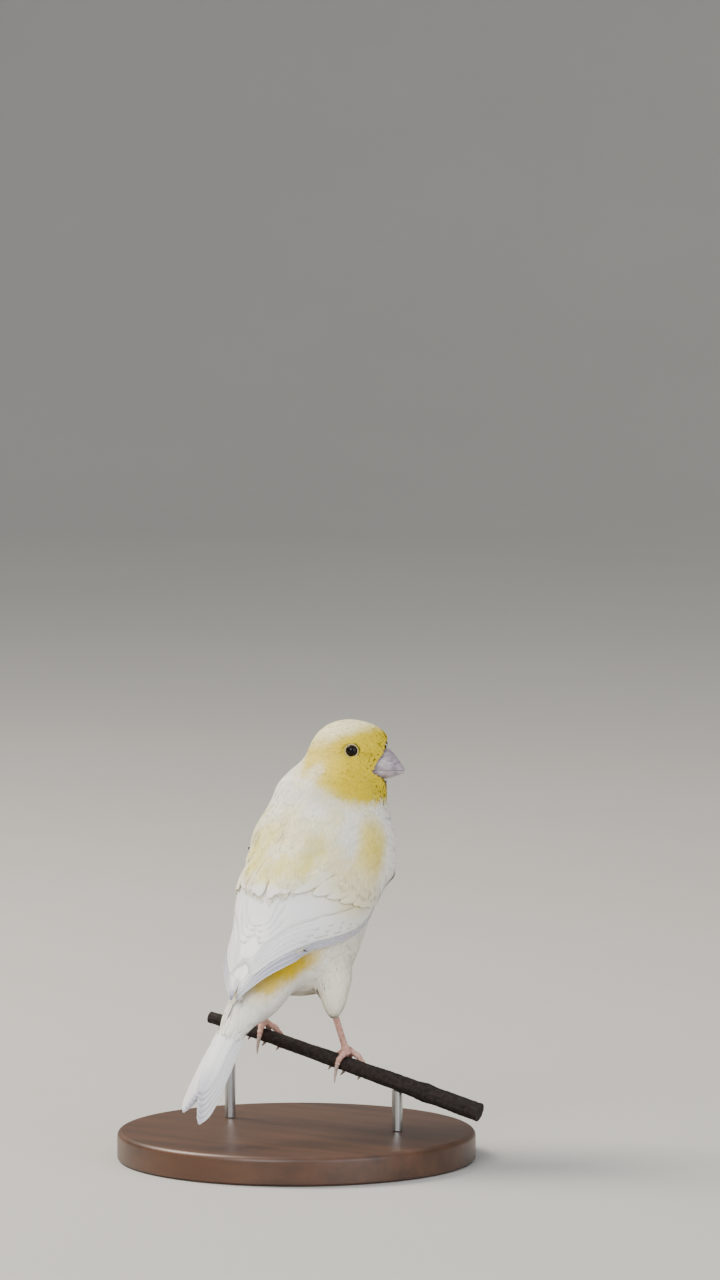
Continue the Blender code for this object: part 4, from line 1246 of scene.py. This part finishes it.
def wing_object(side):
    """A folded wing: a thin core and its tiers of overlapping vanes, each with its shaft."""
    bodies = masses(1)
    chance = np.random.default_rng(WING_SEEDS[side])
    form, triangles = vane_form(*VANE_CELLS)
    rows = VANE_CELLS[0] + 1
    shares = np.linspace(0.0, 1.0, rows)
    columns = np.linspace(-1.0, 1.0, VANE_CELLS[1] + 1)
    row = np.round(form[:, 0] * VANE_CELLS[0]).astype(int)
    column = np.round(form[:, 1] * VANE_CELLS[1]).astype(int)
    share = shares[row]
    c = columns[column]
    sheaf = Sheaf(9, 9.5, 0.1)

    core, core_faces = vane_form(24, 16)
    chart = np.array(CORE_START) + np.array(CORE_SIZE) * core[:, :2]
    surface, normals = on_bed(np.array([wing_place(x, y) for x, y in chart]), bodies)
    points = surface + normals * (CORE_GAP + CORE_THICK * core[:, 2])[:, None]
    # Painted shade: the core under the vanes takes the markings darkened to 0.8
    sheaf.add(points, core_faces, markings(points) * 0.8, core[:, :2] * 30.0)

    for tier in WING_TIERS.values():
        for i in range(tier.count):
            u = i / (tier.count - 1)
            root = between(tier.roots, u)
            tip = between(tier.tips, u) + chance.uniform(-0.006, 0.006, 2)
            tip[0] += tier.bulge * math.sin(math.pi * u**0.6)
            half = between(tier.breadths, u) * chance.uniform(0.96, 1.05) / 2
            rough = np.array([wing_place(*between((root, tip), s)) for s in shares])
            middle, up = on_bed(rough, bodies)
            ahead = unit(np.gradient(middle, axis=0))
            across = unit(np.cross(ahead, up))
            breadths = form_breadths(tier.form, shares) * half
            ragged = 1 - 0.12 * chance.random((rows, 2)) ** 4
            flat = []
            for offset in columns:
                edge = ragged[:, 0 if offset < 0 else 1] if abs(offset) == 1 else 1.0
                flat.append(middle + across * (offset * breadths * edge)[:, None])
            laid, normals = on_bed(np.concatenate(flat), bodies)
            laid = laid.reshape(len(columns), rows, 3)[column, row]
            normals = normals.reshape(len(columns), rows, 3)[column, row]
            top = tier.top + TIER_STEP * i + chance.uniform(-0.01, 0.01)
            height = (top - tier.lift * c / 2 - CAMBER * c**2) * dip_of(share)
            height += 0.03 * np.sin(share * 9 + i) * chance.uniform(0.3, 1.0)
            height -= VANE_THICK * (1 - form[:, 2])
            points = laid + normals * height[:, None]
            length = np.linalg.norm(middle[-1] - middle[0])
            local = np.stack([c * half, share * length], axis=1)
            # Painted shade on the inner webs, in the first half of the tier only
            grey = tier.edge * (1 - eased(u, 0.35, 0.65))
            tone = vane_colours(points, (1 + c) / 2, share, grey) * chance.normal(1.0, 0.012)
            sheaf.add(points, triangles, tone, local)
            sheaf.add(*shaft(middle, up, top, dip_of(shares), length))
    return sheaf.piece(f"wing_feathers_{SIDES[side]}", f"wing_{SIDES[side]}", side)


def dip_of(shares):
    """How much of its height a vane has along it: it comes up from under those before it."""
    return 1 - 0.8 * (1 - shares) ** 2


SHAFT_RINGS = 8


def shaft(middle, up, top, dip, length):
    """The shaft of a vane: a slender closed blade on its upper face."""
    form, triangles = blade_form(SHAFT_RINGS)
    ring = np.round(form[:, 2]).astype(int)
    stop = np.round(ring / SHAFT_RINGS * 0.96 * (len(middle) - 1)).astype(int)
    ahead = unit(np.gradient(middle, axis=0))
    across = unit(np.cross(ahead, up))
    width = RACHIS * (1 - 0.8 * ring / SHAFT_RINGS)
    corner = np.arctan2(form[:, 1], form[:, 0]) + math.pi / 2
    tip = np.hypot(form[:, 0], form[:, 1]) < 0.5
    wide = np.where(tip, 0.0, np.cos(corner)) * width
    high = np.where(tip, 0.0, np.sin(corner)) * width * 0.8
    height = top * dip[stop] - 0.02
    points = middle[stop] + across[stop] * wide[:, None] + up[stop] * (height + high)[:, None]
    tone = np.repeat(np.array([linear("E9E2D2")[:3]]), len(points), axis=0)
    local = np.stack([wide, ring / SHAFT_RINGS * length], axis=1)
    return points, triangles, tone, local


class CANARY_OT_wings(bpy.types.Operator):
    """Lay the feathers of both folded wings"""

    bl_idname = "canary.wings"
    bl_label = "Wings"

    def execute(self, context):
        for side in SIDES:
            wing_object(side)
        return {"FINISHED"}


TAIL_CELLS = (24, 6)
TAIL_SINK = 1.3
TAIL_START = -2.0
TAIL_SEED = 17


def tail_object():
    """The tail: twelve vanes with their shafts, the middle pair on top."""
    form, triangles = vane_form(*TAIL_CELLS)
    chance = np.random.default_rng(TAIL_SEED)
    along, right, up = tail_frame()
    row = np.round(form[:, 0] * TAIL_CELLS[0]).astype(int)
    shares = np.linspace(0.0, 1.0, TAIL_CELLS[0] + 1)
    share = shares[row]
    c = form[:, 1] * 2 - 1
    sheaf = Sheaf(5, 5.2, 0.18)
    look = bpy.context.scene.canary_plumage
    white, shade_lavender = np.array(look.white[:3]), np.array(look.shade_lavender[:3])
    for k in range(TAIL_VANES):
        u = k / (TAIL_VANES - 1)
        for side in SIDES:
            length = TAIL_LENGTH - TAIL_FORK * (1 - u) + TAIL_SKEW * side * u
            edge = TAIL_WIDTH / 2 - 0.5 * (1 - u) * TAIL_BREADTH
            ends = (side * (0.3 + 1.2 * u), side * (edge - TAIL_BREADTH / 2))
            height = -TAIL_STEP * (k + (0.5 if side < 0 else 0.0))

            def lay(t, offset, rise):
                """Places at shares of this vane's length, off its middle and up from it."""
                middle = ends[0] + (ends[1] - ends[0]) * t
                off = middle + offset
                arch = -TAIL_ARCH * (2 * off / TAIL_WIDTH) ** 2
                sunk = TAIL_SINK * (1 - t) ** 8
                place = spot(*TAIL_ROOT) + np.outer(TAIL_START + (length - TAIL_START) * t, along)
                return place + np.outer(off, right) + np.outer(height + arch + rise - sunk, up)

            breadth = form_breadths(FLIGHT_FORM, share) * TAIL_BREADTH / 2
            ragged = 1 - 0.1 * chance.random(TAIL_CELLS[0] + 1)[row] ** 4
            rise = 0.1 * (1 - c**2) - 0.14 * (1 - form[:, 2]) + 0.05 * np.sin(share * 7 + k)
            points = lay(share, c * breadth * np.where(np.abs(c) > 0.99, ragged, 1.0), rise)
            # Painted shade in lavender grey: a little over the whole vane, deeper towards the tip, and mostly
            # left off the outer rim
            outer = (1 + c * side) / 2
            rim = eased(outer, 0.72, 0.92)
            grey = eased(share, 0.62, 0.96) * 0.6 + 0.1
            tone = white + (shade_lavender - white) * (grey * (1 - 0.75 * rim))[:, None]
            tone = tone * chance.normal(1.0, 0.012)
            local = np.stack([c * TAIL_BREADTH / 2, share * length], axis=1)
            sheaf.add(points, triangles, tone, local)
            middle = lay(shares, np.zeros(len(shares)), np.zeros(len(shares)))
            normals = np.repeat(up[None], len(shares), axis=0)
            sheaf.add(*shaft(middle, normals, 0.1, np.ones(len(shares)), length))
    return sheaf.piece("tail_feathers", "tail")


class CANARY_OT_tail(bpy.types.Operator):
    """Lay the feathers of the tail"""

    bl_idname = "canary.tail"
    bl_label = "Tail"

    def execute(self, context):
        tail_object()
        return {"FINISHED"}


# Bill and eyes
LID_OUT = 1.12
LID_INSET = 0.1
LID_THICK = 0.2


def bill_half(upper, steps=30, sides=44):
    """The upper or lower half of the bill: a pushed half-round section from the head out to the tip."""
    bm = bmesh.new()
    ring = bmesh.ops.create_circle(bm, cap_ends=True, radius=1.0, segments=sides)["verts"]
    face = ring[0].link_faces[0]
    for i in range(steps + 1):
        t = i / steps
        forward = BILL_BACK + (BILL_TIP[0] - BILL_BACK - (0 if upper else 0.45)) * math.sin(t * math.pi / 2)
        share = (forward - GAPE[0]) / (BILL_TIP[0] - GAPE[0])
        mouth = GAPE[1] + (BILL_TIP[1] - GAPE[1]) * share + 0.35 * math.sin(share * math.pi)
        past = max(0.0, (forward - CULMEN[0]) / (BILL_TIP[0] - CULMEN[0]))
        width = BILL_HALF_WIDTH * (1.08 - 0.2 * share) * (1 - past**1.5) + 0.28 * past
        if upper:
            top = CULMEN[1] + (BILL_TIP[1] + 0.25 - CULMEN[1]) * past**1.25 + 0.25 * (1 - past)
            low = mouth + 0.06
            flat, deep = low, top - low
        else:
            top = mouth - 0.06
            low = CHIN[1] + (BILL_TIP[1] - 0.7 - CHIN[1]) * past**1.1 - 0.1 * (1 - past)
            flat, deep = top, low - top
        if i:
            face = push(bm, face)
        for k, vert in enumerate(face.verts):
            spin = 2 * math.pi * (k + 0.5) / sides
            side, rise = math.cos(spin), math.sin(spin)
            if rise < 0:
                rise = 0.0
                side = math.copysign(abs(side) ** 0.8, side)
            vert.co = in_head(forward, width * side, flat + deep * rise**0.85)
    return bm


class CANARY_OT_bill(bpy.types.Operator):
    """Shape both halves of the bill, with the nostrils"""

    bl_idname = "canary.bill"
    bl_label = "Bill"

    def execute(self, context):
        # Horn of a pale bill: smooth, a little waxy, flushed pinkish grey, with faint growth lines
        horn = patterned(
            "bill_horn", linear("B9ADB3"), linear("857983"), 420.0, stretch=(1.0, 1.0, 2.4), relief=0.00002,
            Roughness=0.34, IOR=1.55, Subsurface_Weight=0.08, Subsurface_Scale=0.001, Coat_Weight=0.15,
            Coat_Roughness=0.25,
        )
        for upper, name in ((True, "bill_upper"), (False, "bill_lower")):
            bm = bill_half(upper)
            if upper:
                press_nostrils(bm)
            finished(f"{name}_horn", bm, horn, (name,), sharp=50.0)
        return {"FINISHED"}


def press_nostrils(bm):
    """Presses a shallow pit with a raised rim into each side of the upper bill."""
    forward, out, up = NOSTRIL
    for side in SIDES:
        pit = in_head(forward, side * out, up)
        for vert in bm.verts:
            away = np.linalg.norm(np.array(vert.co) - pit)
            if away < 2.2 * NOSTRIL_RADIUS:
                share = away / NOSTRIL_RADIUS
                press = -0.34 * math.exp(-(share**2) * 2.2) + 0.05 * math.exp(-((share - 1.35) ** 2) * 8)
                vert.co += Vector(unit(pit - in_head(forward - 1.0, 0.0, up - 2.0))) * press


def ringed(centre, outward_axis, radius, thick, segments=56):
    """A closed ring of round section round an axis, a little beaded, as an eyelid's edge is."""
    bm = bmesh.new()
    verts = bmesh.ops.create_circle(bm, radius=thick, segments=12)["verts"]
    for vert in verts:
        vert.co = Vector((radius + vert.co.x, 0.0, vert.co.y * 0.8))
    geometry = bm.verts[:] + bm.edges[:]
    bmesh.ops.spin(
        bm, geom=geometry, axis=(0, 0, 1), cent=(0, 0, 0), steps=segments, angle=2 * math.pi, use_merge=True
    )
    bmesh.ops.remove_doubles(bm, verts=bm.verts, dist=1e-4)
    for vert in bm.verts:
        spin = math.atan2(vert.co.y, vert.co.x)
        bead = 1 + 0.012 * math.sin(spin * 22)
        x, y = vert.co.x * bead, vert.co.y * bead * 0.96
        vert.co = centre + x * HEAD_AXES[0] + y * HEAD_AXES[2] + vert.co.z * outward_axis
    return bm


class CANARY_OT_eyes(bpy.types.Operator):
    """Set both eyes in their rings of lid"""

    bl_idname = "canary.eyes"
    bl_label = "Eyes"

    def execute(self, context):
        # A dark brown iris round a black pupil, under the wet clear skin of the eyeball
        material, tree, shader = new_material(
            "wet_eye", Roughness=0.1, IOR=1.38, Coat_Weight=0.12, Coat_Roughness=0.03, Specular_IOR_Level=0.2
        )
        tone = add_node(tree, "ShaderNodeAttribute", attribute_name="Iris")
        where = add_node(tree, "ShaderNodeTexCoord")
        flecks = add_node(
            tree, "ShaderNodeTexNoise", {"Vector": where.outputs["Object"], "Scale": 3000.0, "Detail": 2.0}
        )
        ramp = add_node(tree, "ShaderNodeValToRGB", {"Fac": tone.outputs["Fac"]})
        ramp.color_ramp.elements[0].color = linear("070505")
        ramp.color_ramp.elements[0].position = 0.5
        ramp.color_ramp.elements[1].color = linear("23130C")
        ramp.color_ramp.elements[1].position = 0.62
        tinted(tree, shader, ramp.outputs["Color"], flecks.outputs["Fac"], 0.7, 1.2)
        # Bare skin of the lids: pale cream, matt and finely grained
        lid = patterned(
            "lid_skin", linear("CFC68C"), linear("8F8650"), 2600.0, relief=0.00003, Roughness=0.55, IOR=1.4,
            Subsurface_Weight=0.1, Subsurface_Scale=0.0006,
        )
        for side, word in SIDES.items():
            centre = box_middle(f"eye_{word}")
            low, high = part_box(f"eye_{word}")
            radius = (high.z - low.z) / MM / 2
            outer = side * HEAD_AXES[1]
            bm = bmesh.new()
            bmesh.ops.create_uvsphere(bm, u_segments=48, v_segments=32, radius=radius)
            for vert in bm.verts:
                x, y, z = vert.co
                vert.co = centre + x * HEAD_AXES[0] + y * HEAD_AXES[2] + z * outer
            places = np.array([v.co for v in bm.verts])
            away = np.linalg.norm(places - centre - outer * radius, axis=1) / radius
            eye = finished(f"eyeball_{word}", bm, material, (f"eye_{word}",))
            layer = eye.data.attributes.new("Iris", "FLOAT", "POINT")
            layer.data.foreach_set("value", away.astype(np.float32))
            ring = ringed(centre + outer * LID_OUT, outer, LID_RING - LID_INSET, LID_THICK)
            finished(f"eyelid_{word}", ring, lid)
        return {"FINISHED"}


# Legs
SHANK_STEPS = 110
SCUTE_LENGTH = 1.15
SCUTE_LIFT = 0.05


def perch_place(s, spin=0.0, reach=0.0):
    """A place round the perch: s along it to the bird's right, spin from its top towards the front."""
    turn, slope = math.radians(PERCH_TURN), math.radians(PERCH_SLOPE)
    along = way(math.sin(turn) * math.cos(slope), math.cos(turn) * math.cos(slope), -math.sin(slope))
    top = unit(way(0, 0, 1) - along * way(0, 0, 1).dot(along))
    front = np.cross(top, along)
    angle = math.radians(spin)
    past = s - PERCH_STRAIGHT[0]
    bend = PERCH_BEND * max(0.0, abs(past) - PERCH_STRAIGHT[1]) ** 2
    middle = PERCH_TOP + along * s - top * (PERCH_RADIUS + bend / 2) + front * math.copysign(bend, past)
    return middle + reach * (math.cos(angle) * top + math.sin(angle) * front)


def perch_radius(s):
    """The perch thickens to the right, with a low swelling at each of its nodes."""
    swell = sum(height * math.exp(-(((s - place) / width) ** 2)) for place, width, height in PERCH_NODES)
    return PERCH_RADIUS + PERCH_TAPER * s + swell


def toe_line(side, drift, start, end, steps=8, scutes=0.0):
    """The places and radii along a toe that lies round the perch, with pads, and scutes where asked."""
    points, radii = [], []
    for i in range(steps + 1):
        t = i / steps
        along = FOOT_ALONG[side] + drift * math.sin(t * math.pi / 2)
        radius = TOE_RADIUS * (1.1 - TOE_TAPER * t) + 0.07 * math.cos(6 * math.pi * t)
        lift = perch_radius(along) + GAP + radius + 0.55 * (1 - t) ** 3
        points.append(perch_place(along, start + (end - start) * t, lift))
        radii.append(radius + scutes * (1 - (t * 9) % 1.0))
    return points, radii


def leg_object(side):
    """The bare shank and the foot with its four toes, as one skin with overlapping scutes."""
    foot, bare, _, lean = leg_line(side)
    ankle = foot + lean * PAD_RADIUS
    top = bare + lean * 2.0
    length = np.linalg.norm(top - ankle)
    bm = bmesh.new()
    places, radii = [], []
    for i in range(SHANK_STEPS + 1):
        t = i / SHANK_STEPS
        place = ankle + (top - ankle) * t
        flare = (ANKLE_RADIUS - SHANK_RADIUS) * (max(0.0, 1 - t / 0.12) + max(0.0, (t - 0.86) / 0.14))
        scute = SCUTE_LIFT * (1 - (t * length / SCUTE_LENGTH) % 1.0)
        places.append(place)
        radii.append(SHANK_RADIUS - 0.06 + flare + scute)
    tube(bm, places, radii, 18)
    tube(bm, [foot - lean * PAD_RADIUS / 2, foot, foot + lean * PAD_RADIUS, ankle + lean * 0.9],
         [ANKLE_RADIUS * 0.8, PAD_RADIUS * 0.96, ANKLE_RADIUS * 1.08, SHANK_RADIUS], 18)
    for drift, start, end in TOES.values():
        points, radii = toe_line(side, side * drift, start, end, 54, 0.06)
        tube(bm, points, [r - 0.03 for r in radii], 14)
    bm = remeshed(bm, 0.13)
    smoothed(bm, 1)
    # Bare skin of a canary's leg: pale flesh pink, dry, in small horny plates
    flesh = patterned(
        "leg_skin", linear("DDB3A4"), linear("B98575"), 900.0, relief=0.00003, Roughness=0.48, IOR=1.45,
        Subsurface_Weight=0.12, Subsurface_Scale=0.0008, Specular_IOR_Level=0.45,
    )
    word = SIDES[side]
    return finished(f"leg_{word}", bm, flesh, (f"shank_{word}", f"foot_{word}"))


def claw_bmesh(toe, side):
    """A thin curved claw: the front ones wrap on round the perch, the hind one hangs straight down."""
    drift, start, end = TOES[toe]
    line, _ = toe_line(side, side * drift, start, end)
    ahead = unit(line[-1] - line[-2])
    root = line[-1] - ahead * 0.25
    along = FOOT_ALONG[side] + side * drift
    points, radii = [], []
    for t in np.linspace(0.0, 1.0, 17):
        if toe == "hind":
            points.append(root + HIND_CLAW * (ahead * 0.45 * t * (2 - t) + way(0, 0, -1) * 0.62 * t**1.5))
        else:
            lift = perch_radius(along) + GAP + CLAW_RADII[0] + 0.25 + 0.35 * t * t
            wrapped = perch_place(along, end + CLAW_SPIN * t, lift)
            points.append(wrapped + (root - perch_place(along, end, lift)) * (1 - t) ** 2)
        radii.append(float(np.interp(t, np.linspace(0, 1, 5), CLAW_RADII)) * (1.0 if t < 1 else 0.4))
    bm = bmesh.new()
    tube(bm, points, radii, 14)
    return bm


class CANARY_OT_legs(bpy.types.Operator):
    """Shape the shanks, the feet and the claws"""

    bl_idname = "canary.legs"
    bl_label = "Legs"

    def execute(self, context):
        # Claw horn: hard, half glossy, streaked along its length
        horn = patterned(
            "claw_horn", linear("C9B3A6"), linear("8E786C"), 700.0, relief=0.00002, Roughness=0.32, IOR=1.55,
            Coat_Weight=0.2, Coat_Roughness=0.2,
        )
        for side, word in SIDES.items():
            leg_object(side)
            for toe in TOES:
                node = f"claw_{toe}_{word}"
                finished(f"{node}_horn", claw_bmesh(toe, side), horn, (node,))
        return {"FINISHED"}


# Perch and stand
def bark_relief(s, angle, ridge):
    """How far the bark stands out at a place along and round the perch, in millimetres."""
    round_x, round_y = math.cos(angle), math.sin(angle)
    ridges = noise.noise(Vector((round_x * 3.4, round_y * 3.4, s * 0.16)))
    cracks = 1 - abs(noise.noise(Vector((round_x * 5.2 + 9, round_y * 5.2, s * 0.34)))) * 2.2
    grains = noise.noise(Vector((round_x * 11.0, round_y * 11.0, s * 2.1)))
    return ridge * (0.9 * ridges - 0.55 * max(0.0, cracks) ** 3 + 0.35 * grains)


class CANARY_OT_perch(bpy.types.Operator):
    """Shape the cut perch with its bark"""

    bl_idname = "canary.perch"
    bl_label = "Perch"

    def execute(self, context):
        look = context.scene.canary_stand
        ridge = look.ridge / MM
        steps, sides = 330, 48
        bm = bmesh.new()
        stops = np.linspace(PERCH_LEFT, PERCH_RIGHT, steps + 1)
        tube(bm, [perch_place(s) for s in stops], [perch_radius(s) for s in stops], sides)
        line = np.array([perch_place(s) for s in stops])
        for vert in bm.verts:
            place = np.array(vert.co)
            i = int(((line - place) ** 2).sum(1).argmin())
            away = place - line[i]
            reach = np.linalg.norm(away)
            if reach > 0.5:
                top = perch_place(stops[i], 0.0, 1.0) - line[i]
                front = perch_place(stops[i], 90.0, 1.0) - line[i]
                angle = math.atan2(away.dot(front), away.dot(top))
                vert.co = Vector(line[i] + away / reach * (reach + bark_relief(stops[i], angle, ridge)))
        # Bark of a dry twig: nearly black, rough and dull, with paler ridges
        dark = np.array(look.bark)
        bark = patterned(
            "bark", tuple(np.clip(dark * 2.0, 0, 1)), tuple(dark * 0.5), 900.0, detail=6.0, relief=0.00012,
            Roughness=0.86, IOR=1.5, Specular_IOR_Level=0.3,
        )
        finished("perch_bark", bm, bark, ("perch",), sharp=55.0)
        return {"FINISHED"}


class CANARY_OT_stand(bpy.types.Operator):
    """Turn the base and finish the rods"""

    bl_idname = "canary.stand"
    bl_label = "Stand"

    def execute(self, context):
        look = context.scene.canary_stand
        foot = BASE_EDGE / 3
        shoulder = BASE_HEIGHT - BASE_EDGE
        profile = [(0.0, 0.0), (BASE_RADIUS - foot, 0.0), (BASE_RADIUS, foot), (BASE_RADIUS, shoulder)]
        for angle in np.linspace(math.pi / 16, math.pi / 2, 8):
            inset = BASE_EDGE * (1 - math.cos(angle))
            profile.append((BASE_RADIUS - inset, shoulder + BASE_EDGE * math.sin(angle)))
        profile.append((0.0, BASE_HEIGHT))
        bm = lathed(profile, 160)
        # Oiled walnut: dark brown with long grain along X, satin under its oil
        wood = np.array(look.walnut)
        walnut = patterned(
            "oiled_walnut", tuple(wood), tuple(wood * 0.42), 130.0, detail=8.0, stretch=(0.09, 1.0, 1.0),
            relief=0.00004, Roughness=0.42, IOR=1.5, Coat_Weight=0.2, Coat_Roughness=0.3,
        )
        finished("base_walnut", bm, walnut, ("stand_base",), sharp=40.0)
        # Brushed stainless steel: grey, with fine lines along the rod
        steel = patterned(
            "brushed_steel", linear("C4C4C2"), linear("9A9A99"), 2200.0, stretch=(1.0, 1.0, 0.04),
            relief=0.00001, Roughness=0.28, Metallic=1.0,
        )
        for name in ("stand_rod_1", "stand_rod_2"):
            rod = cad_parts[name]
            rod.data.materials.clear()
            rod.data.materials.append(steel)
        return {"FINISHED"}


# Stage
SCALE = 0.28
IMAGE = (720, 1280)
FEET_PIXEL = (303.5, 1041.5)
DISTANCE = 2000.0
ELEVATION = 5.0
# The floor is a wide bowl with no corner, in metres
FLOOR_FLAT = 2.4
FLOOR_CURVE = 1.2
WALL_TOP = 3.4
# Lights: place along the view, to its right and up in metres, share of the key's strength, size, colour
LIGHTS = {
    "key": ((0.35, -0.75, 0.95), 4.6, 0.55, "FFF6E8"),
    "fill": ((-0.9, 0.7, 0.3), 1.5, 0.9, "EEF3FF"),
    "front": ((-1.1, -0.5, 0.6), 2.4, 0.8, "FFFFFF"),
}


def view_axes(azimuth, elevation):
    """The camera's way in, its right and its up."""
    a, e = azimuth, math.radians(elevation)
    back = np.array([math.sin(a), -math.cos(a), 0.0])
    view = -back * math.cos(e) - np.array([0.0, 0.0, math.sin(e)])
    right = np.array([math.cos(a), math.sin(a), 0.0])
    return view, right, np.cross(right, view)


def add_light(name, place, target, energy, size, colour):
    """Hangs a soft square light that faces a target."""
    data = bpy.data.lights.new(name, "AREA")
    data.energy = energy
    data.size = size
    data.color = linear(colour)[:3]
    light = bpy.data.objects.new(name, data)
    light.location = place
    light.rotation_euler = Vector(np.array(target) - np.array(place)).to_track_quat("-Z", "Y").to_euler()
    bpy.context.scene.collection.objects.link(light)


class CANARY_OT_stage(bpy.types.Operator):
    """Lay the floor, hang the lights and place the camera"""

    bl_idname = "canary.stage"
    bl_label = "Stage"

    def execute(self, context):
        look = context.scene.canary_studio
        profile = [(0.0, 0.0), (FLOOR_FLAT / 4, 0.0), (FLOOR_FLAT, 0.0)]
        for angle in np.linspace(0.0, math.pi / 2, 14)[1:]:
            out = FLOOR_FLAT + FLOOR_CURVE * math.sin(angle)
            profile.append((out, FLOOR_CURVE * (1 - math.cos(angle))))
        profile.append((FLOOR_FLAT + FLOOR_CURVE, WALL_TOP))
        bm = lathed(profile, 96)
        bmesh.ops.recalc_face_normals(bm, faces=bm.faces)
        mesh = bpy.data.meshes.new("floor")
        bm.to_mesh(mesh)
        bm.free()
        mesh.shade_smooth()
        # Matt painted floor: pale warm grey with hardly any grain, so that the bird stands out
        pale = np.array(look.floor)
        mesh.materials.append(patterned(
            "studio_floor", tuple(pale), tuple(pale * 0.96), 3.0, relief=0.0, Roughness=0.9
        ))
        floor = bpy.data.objects.new("floor", mesh)
        floor.location.z = -0.0002
        context.scene.collection.objects.link(floor)

        view, right, up = view_axes(look.azimuth, ELEVATION)
        target = PERCH_TOP + (IMAGE[0] / 2 - FEET_PIXEL[0]) * SCALE * right
        target = target + (FEET_PIXEL[1] - IMAGE[1] / 2) * SCALE * up
        data = bpy.data.cameras.new("camera")
        data.sensor_width = 36.0
        data.lens = 36.0 * DISTANCE / (SCALE * IMAGE[1])
        data.clip_end = 50.0
        camera = bpy.data.objects.new("camera", data)
        place = target - DISTANCE * view
        camera.location = place * MM
        camera.rotation_euler = Vector(view).to_track_quat("-Z", "Y").to_euler()
        context.scene.collection.objects.link(camera)
        context.scene.camera = camera

        middle = spot(0.0, 0.0, 50.0) * MM
        level = unit(np.array([view[0], view[1], 0.0]))
        for name, (place, share, size, colour) in LIGHTS.items():
            hung = middle + level * place[0] + right * place[1] + np.array([0.0, 0.0, place[2]])
            add_light(name, hung, middle, look.key * share, size, colour)
        world = bpy.data.worlds.new("studio")
        world.use_nodes = True
        background = world.node_tree.nodes["Background"]
        background.inputs["Color"].default_value = linear("E4E6EA")
        background.inputs["Strength"].default_value = 0.95
        context.scene.world = world
        return {"FINISHED"}


class CANARY_PT_panel(bpy.types.Panel):
    """Sizes, colours and pieces of the perched canary"""

    bl_idname = "CANARY_PT_panel"
    bl_label = "Perched canary"
    bl_space_type = "VIEW_3D"
    bl_region_type = "UI"
    bl_category = "Canary"

    def draw(self, context):
        for group in GROUPS:
            settings = getattr(context.scene, group)
            box = self.layout.box()
            for name in settings.bl_rna.properties.keys():
                if name not in ("rna_type", "name"):
                    box.prop(settings, name)
        for operator in OPERATORS:
            self.layout.operator(operator.bl_idname)


GROUPS = {"canary_plumage": CanaryPlumage, "canary_stand": CanaryStand, "canary_studio": CanaryStudio}
OPERATORS = (
    CANARY_OT_skin, CANARY_OT_coat, CANARY_OT_wings, CANARY_OT_tail, CANARY_OT_bill, CANARY_OT_eyes,
    CANARY_OT_legs, CANARY_OT_perch, CANARY_OT_stand, CANARY_OT_stage,
)


def register():
    """Registers the settings, the operators and the panel."""
    for kind in (*GROUPS.values(), *OPERATORS, CANARY_PT_panel):
        bpy.utils.register_class(kind)
    for name, group in GROUPS.items():
        setattr(bpy.types.Scene, name, bpy.props.PointerProperty(type=group))


def unregister():
    """Takes them all away again."""
    for name in GROUPS:
        delattr(bpy.types.Scene, name)
    for kind in reversed((*GROUPS.values(), *OPERATORS, CANARY_PT_panel)):
        bpy.utils.unregister_class(kind)


def main():
    """Makes every piece and the stage."""
    register()
    bpy.ops.canary.skin()
    bpy.ops.canary.coat()
    bpy.ops.canary.wings()
    bpy.ops.canary.tail()
    bpy.ops.canary.bill()
    bpy.ops.canary.eyes()
    bpy.ops.canary.legs()
    bpy.ops.canary.perch()
    bpy.ops.canary.stand()
    bpy.ops.canary.stage()


if __name__ == "__main__":
    main()
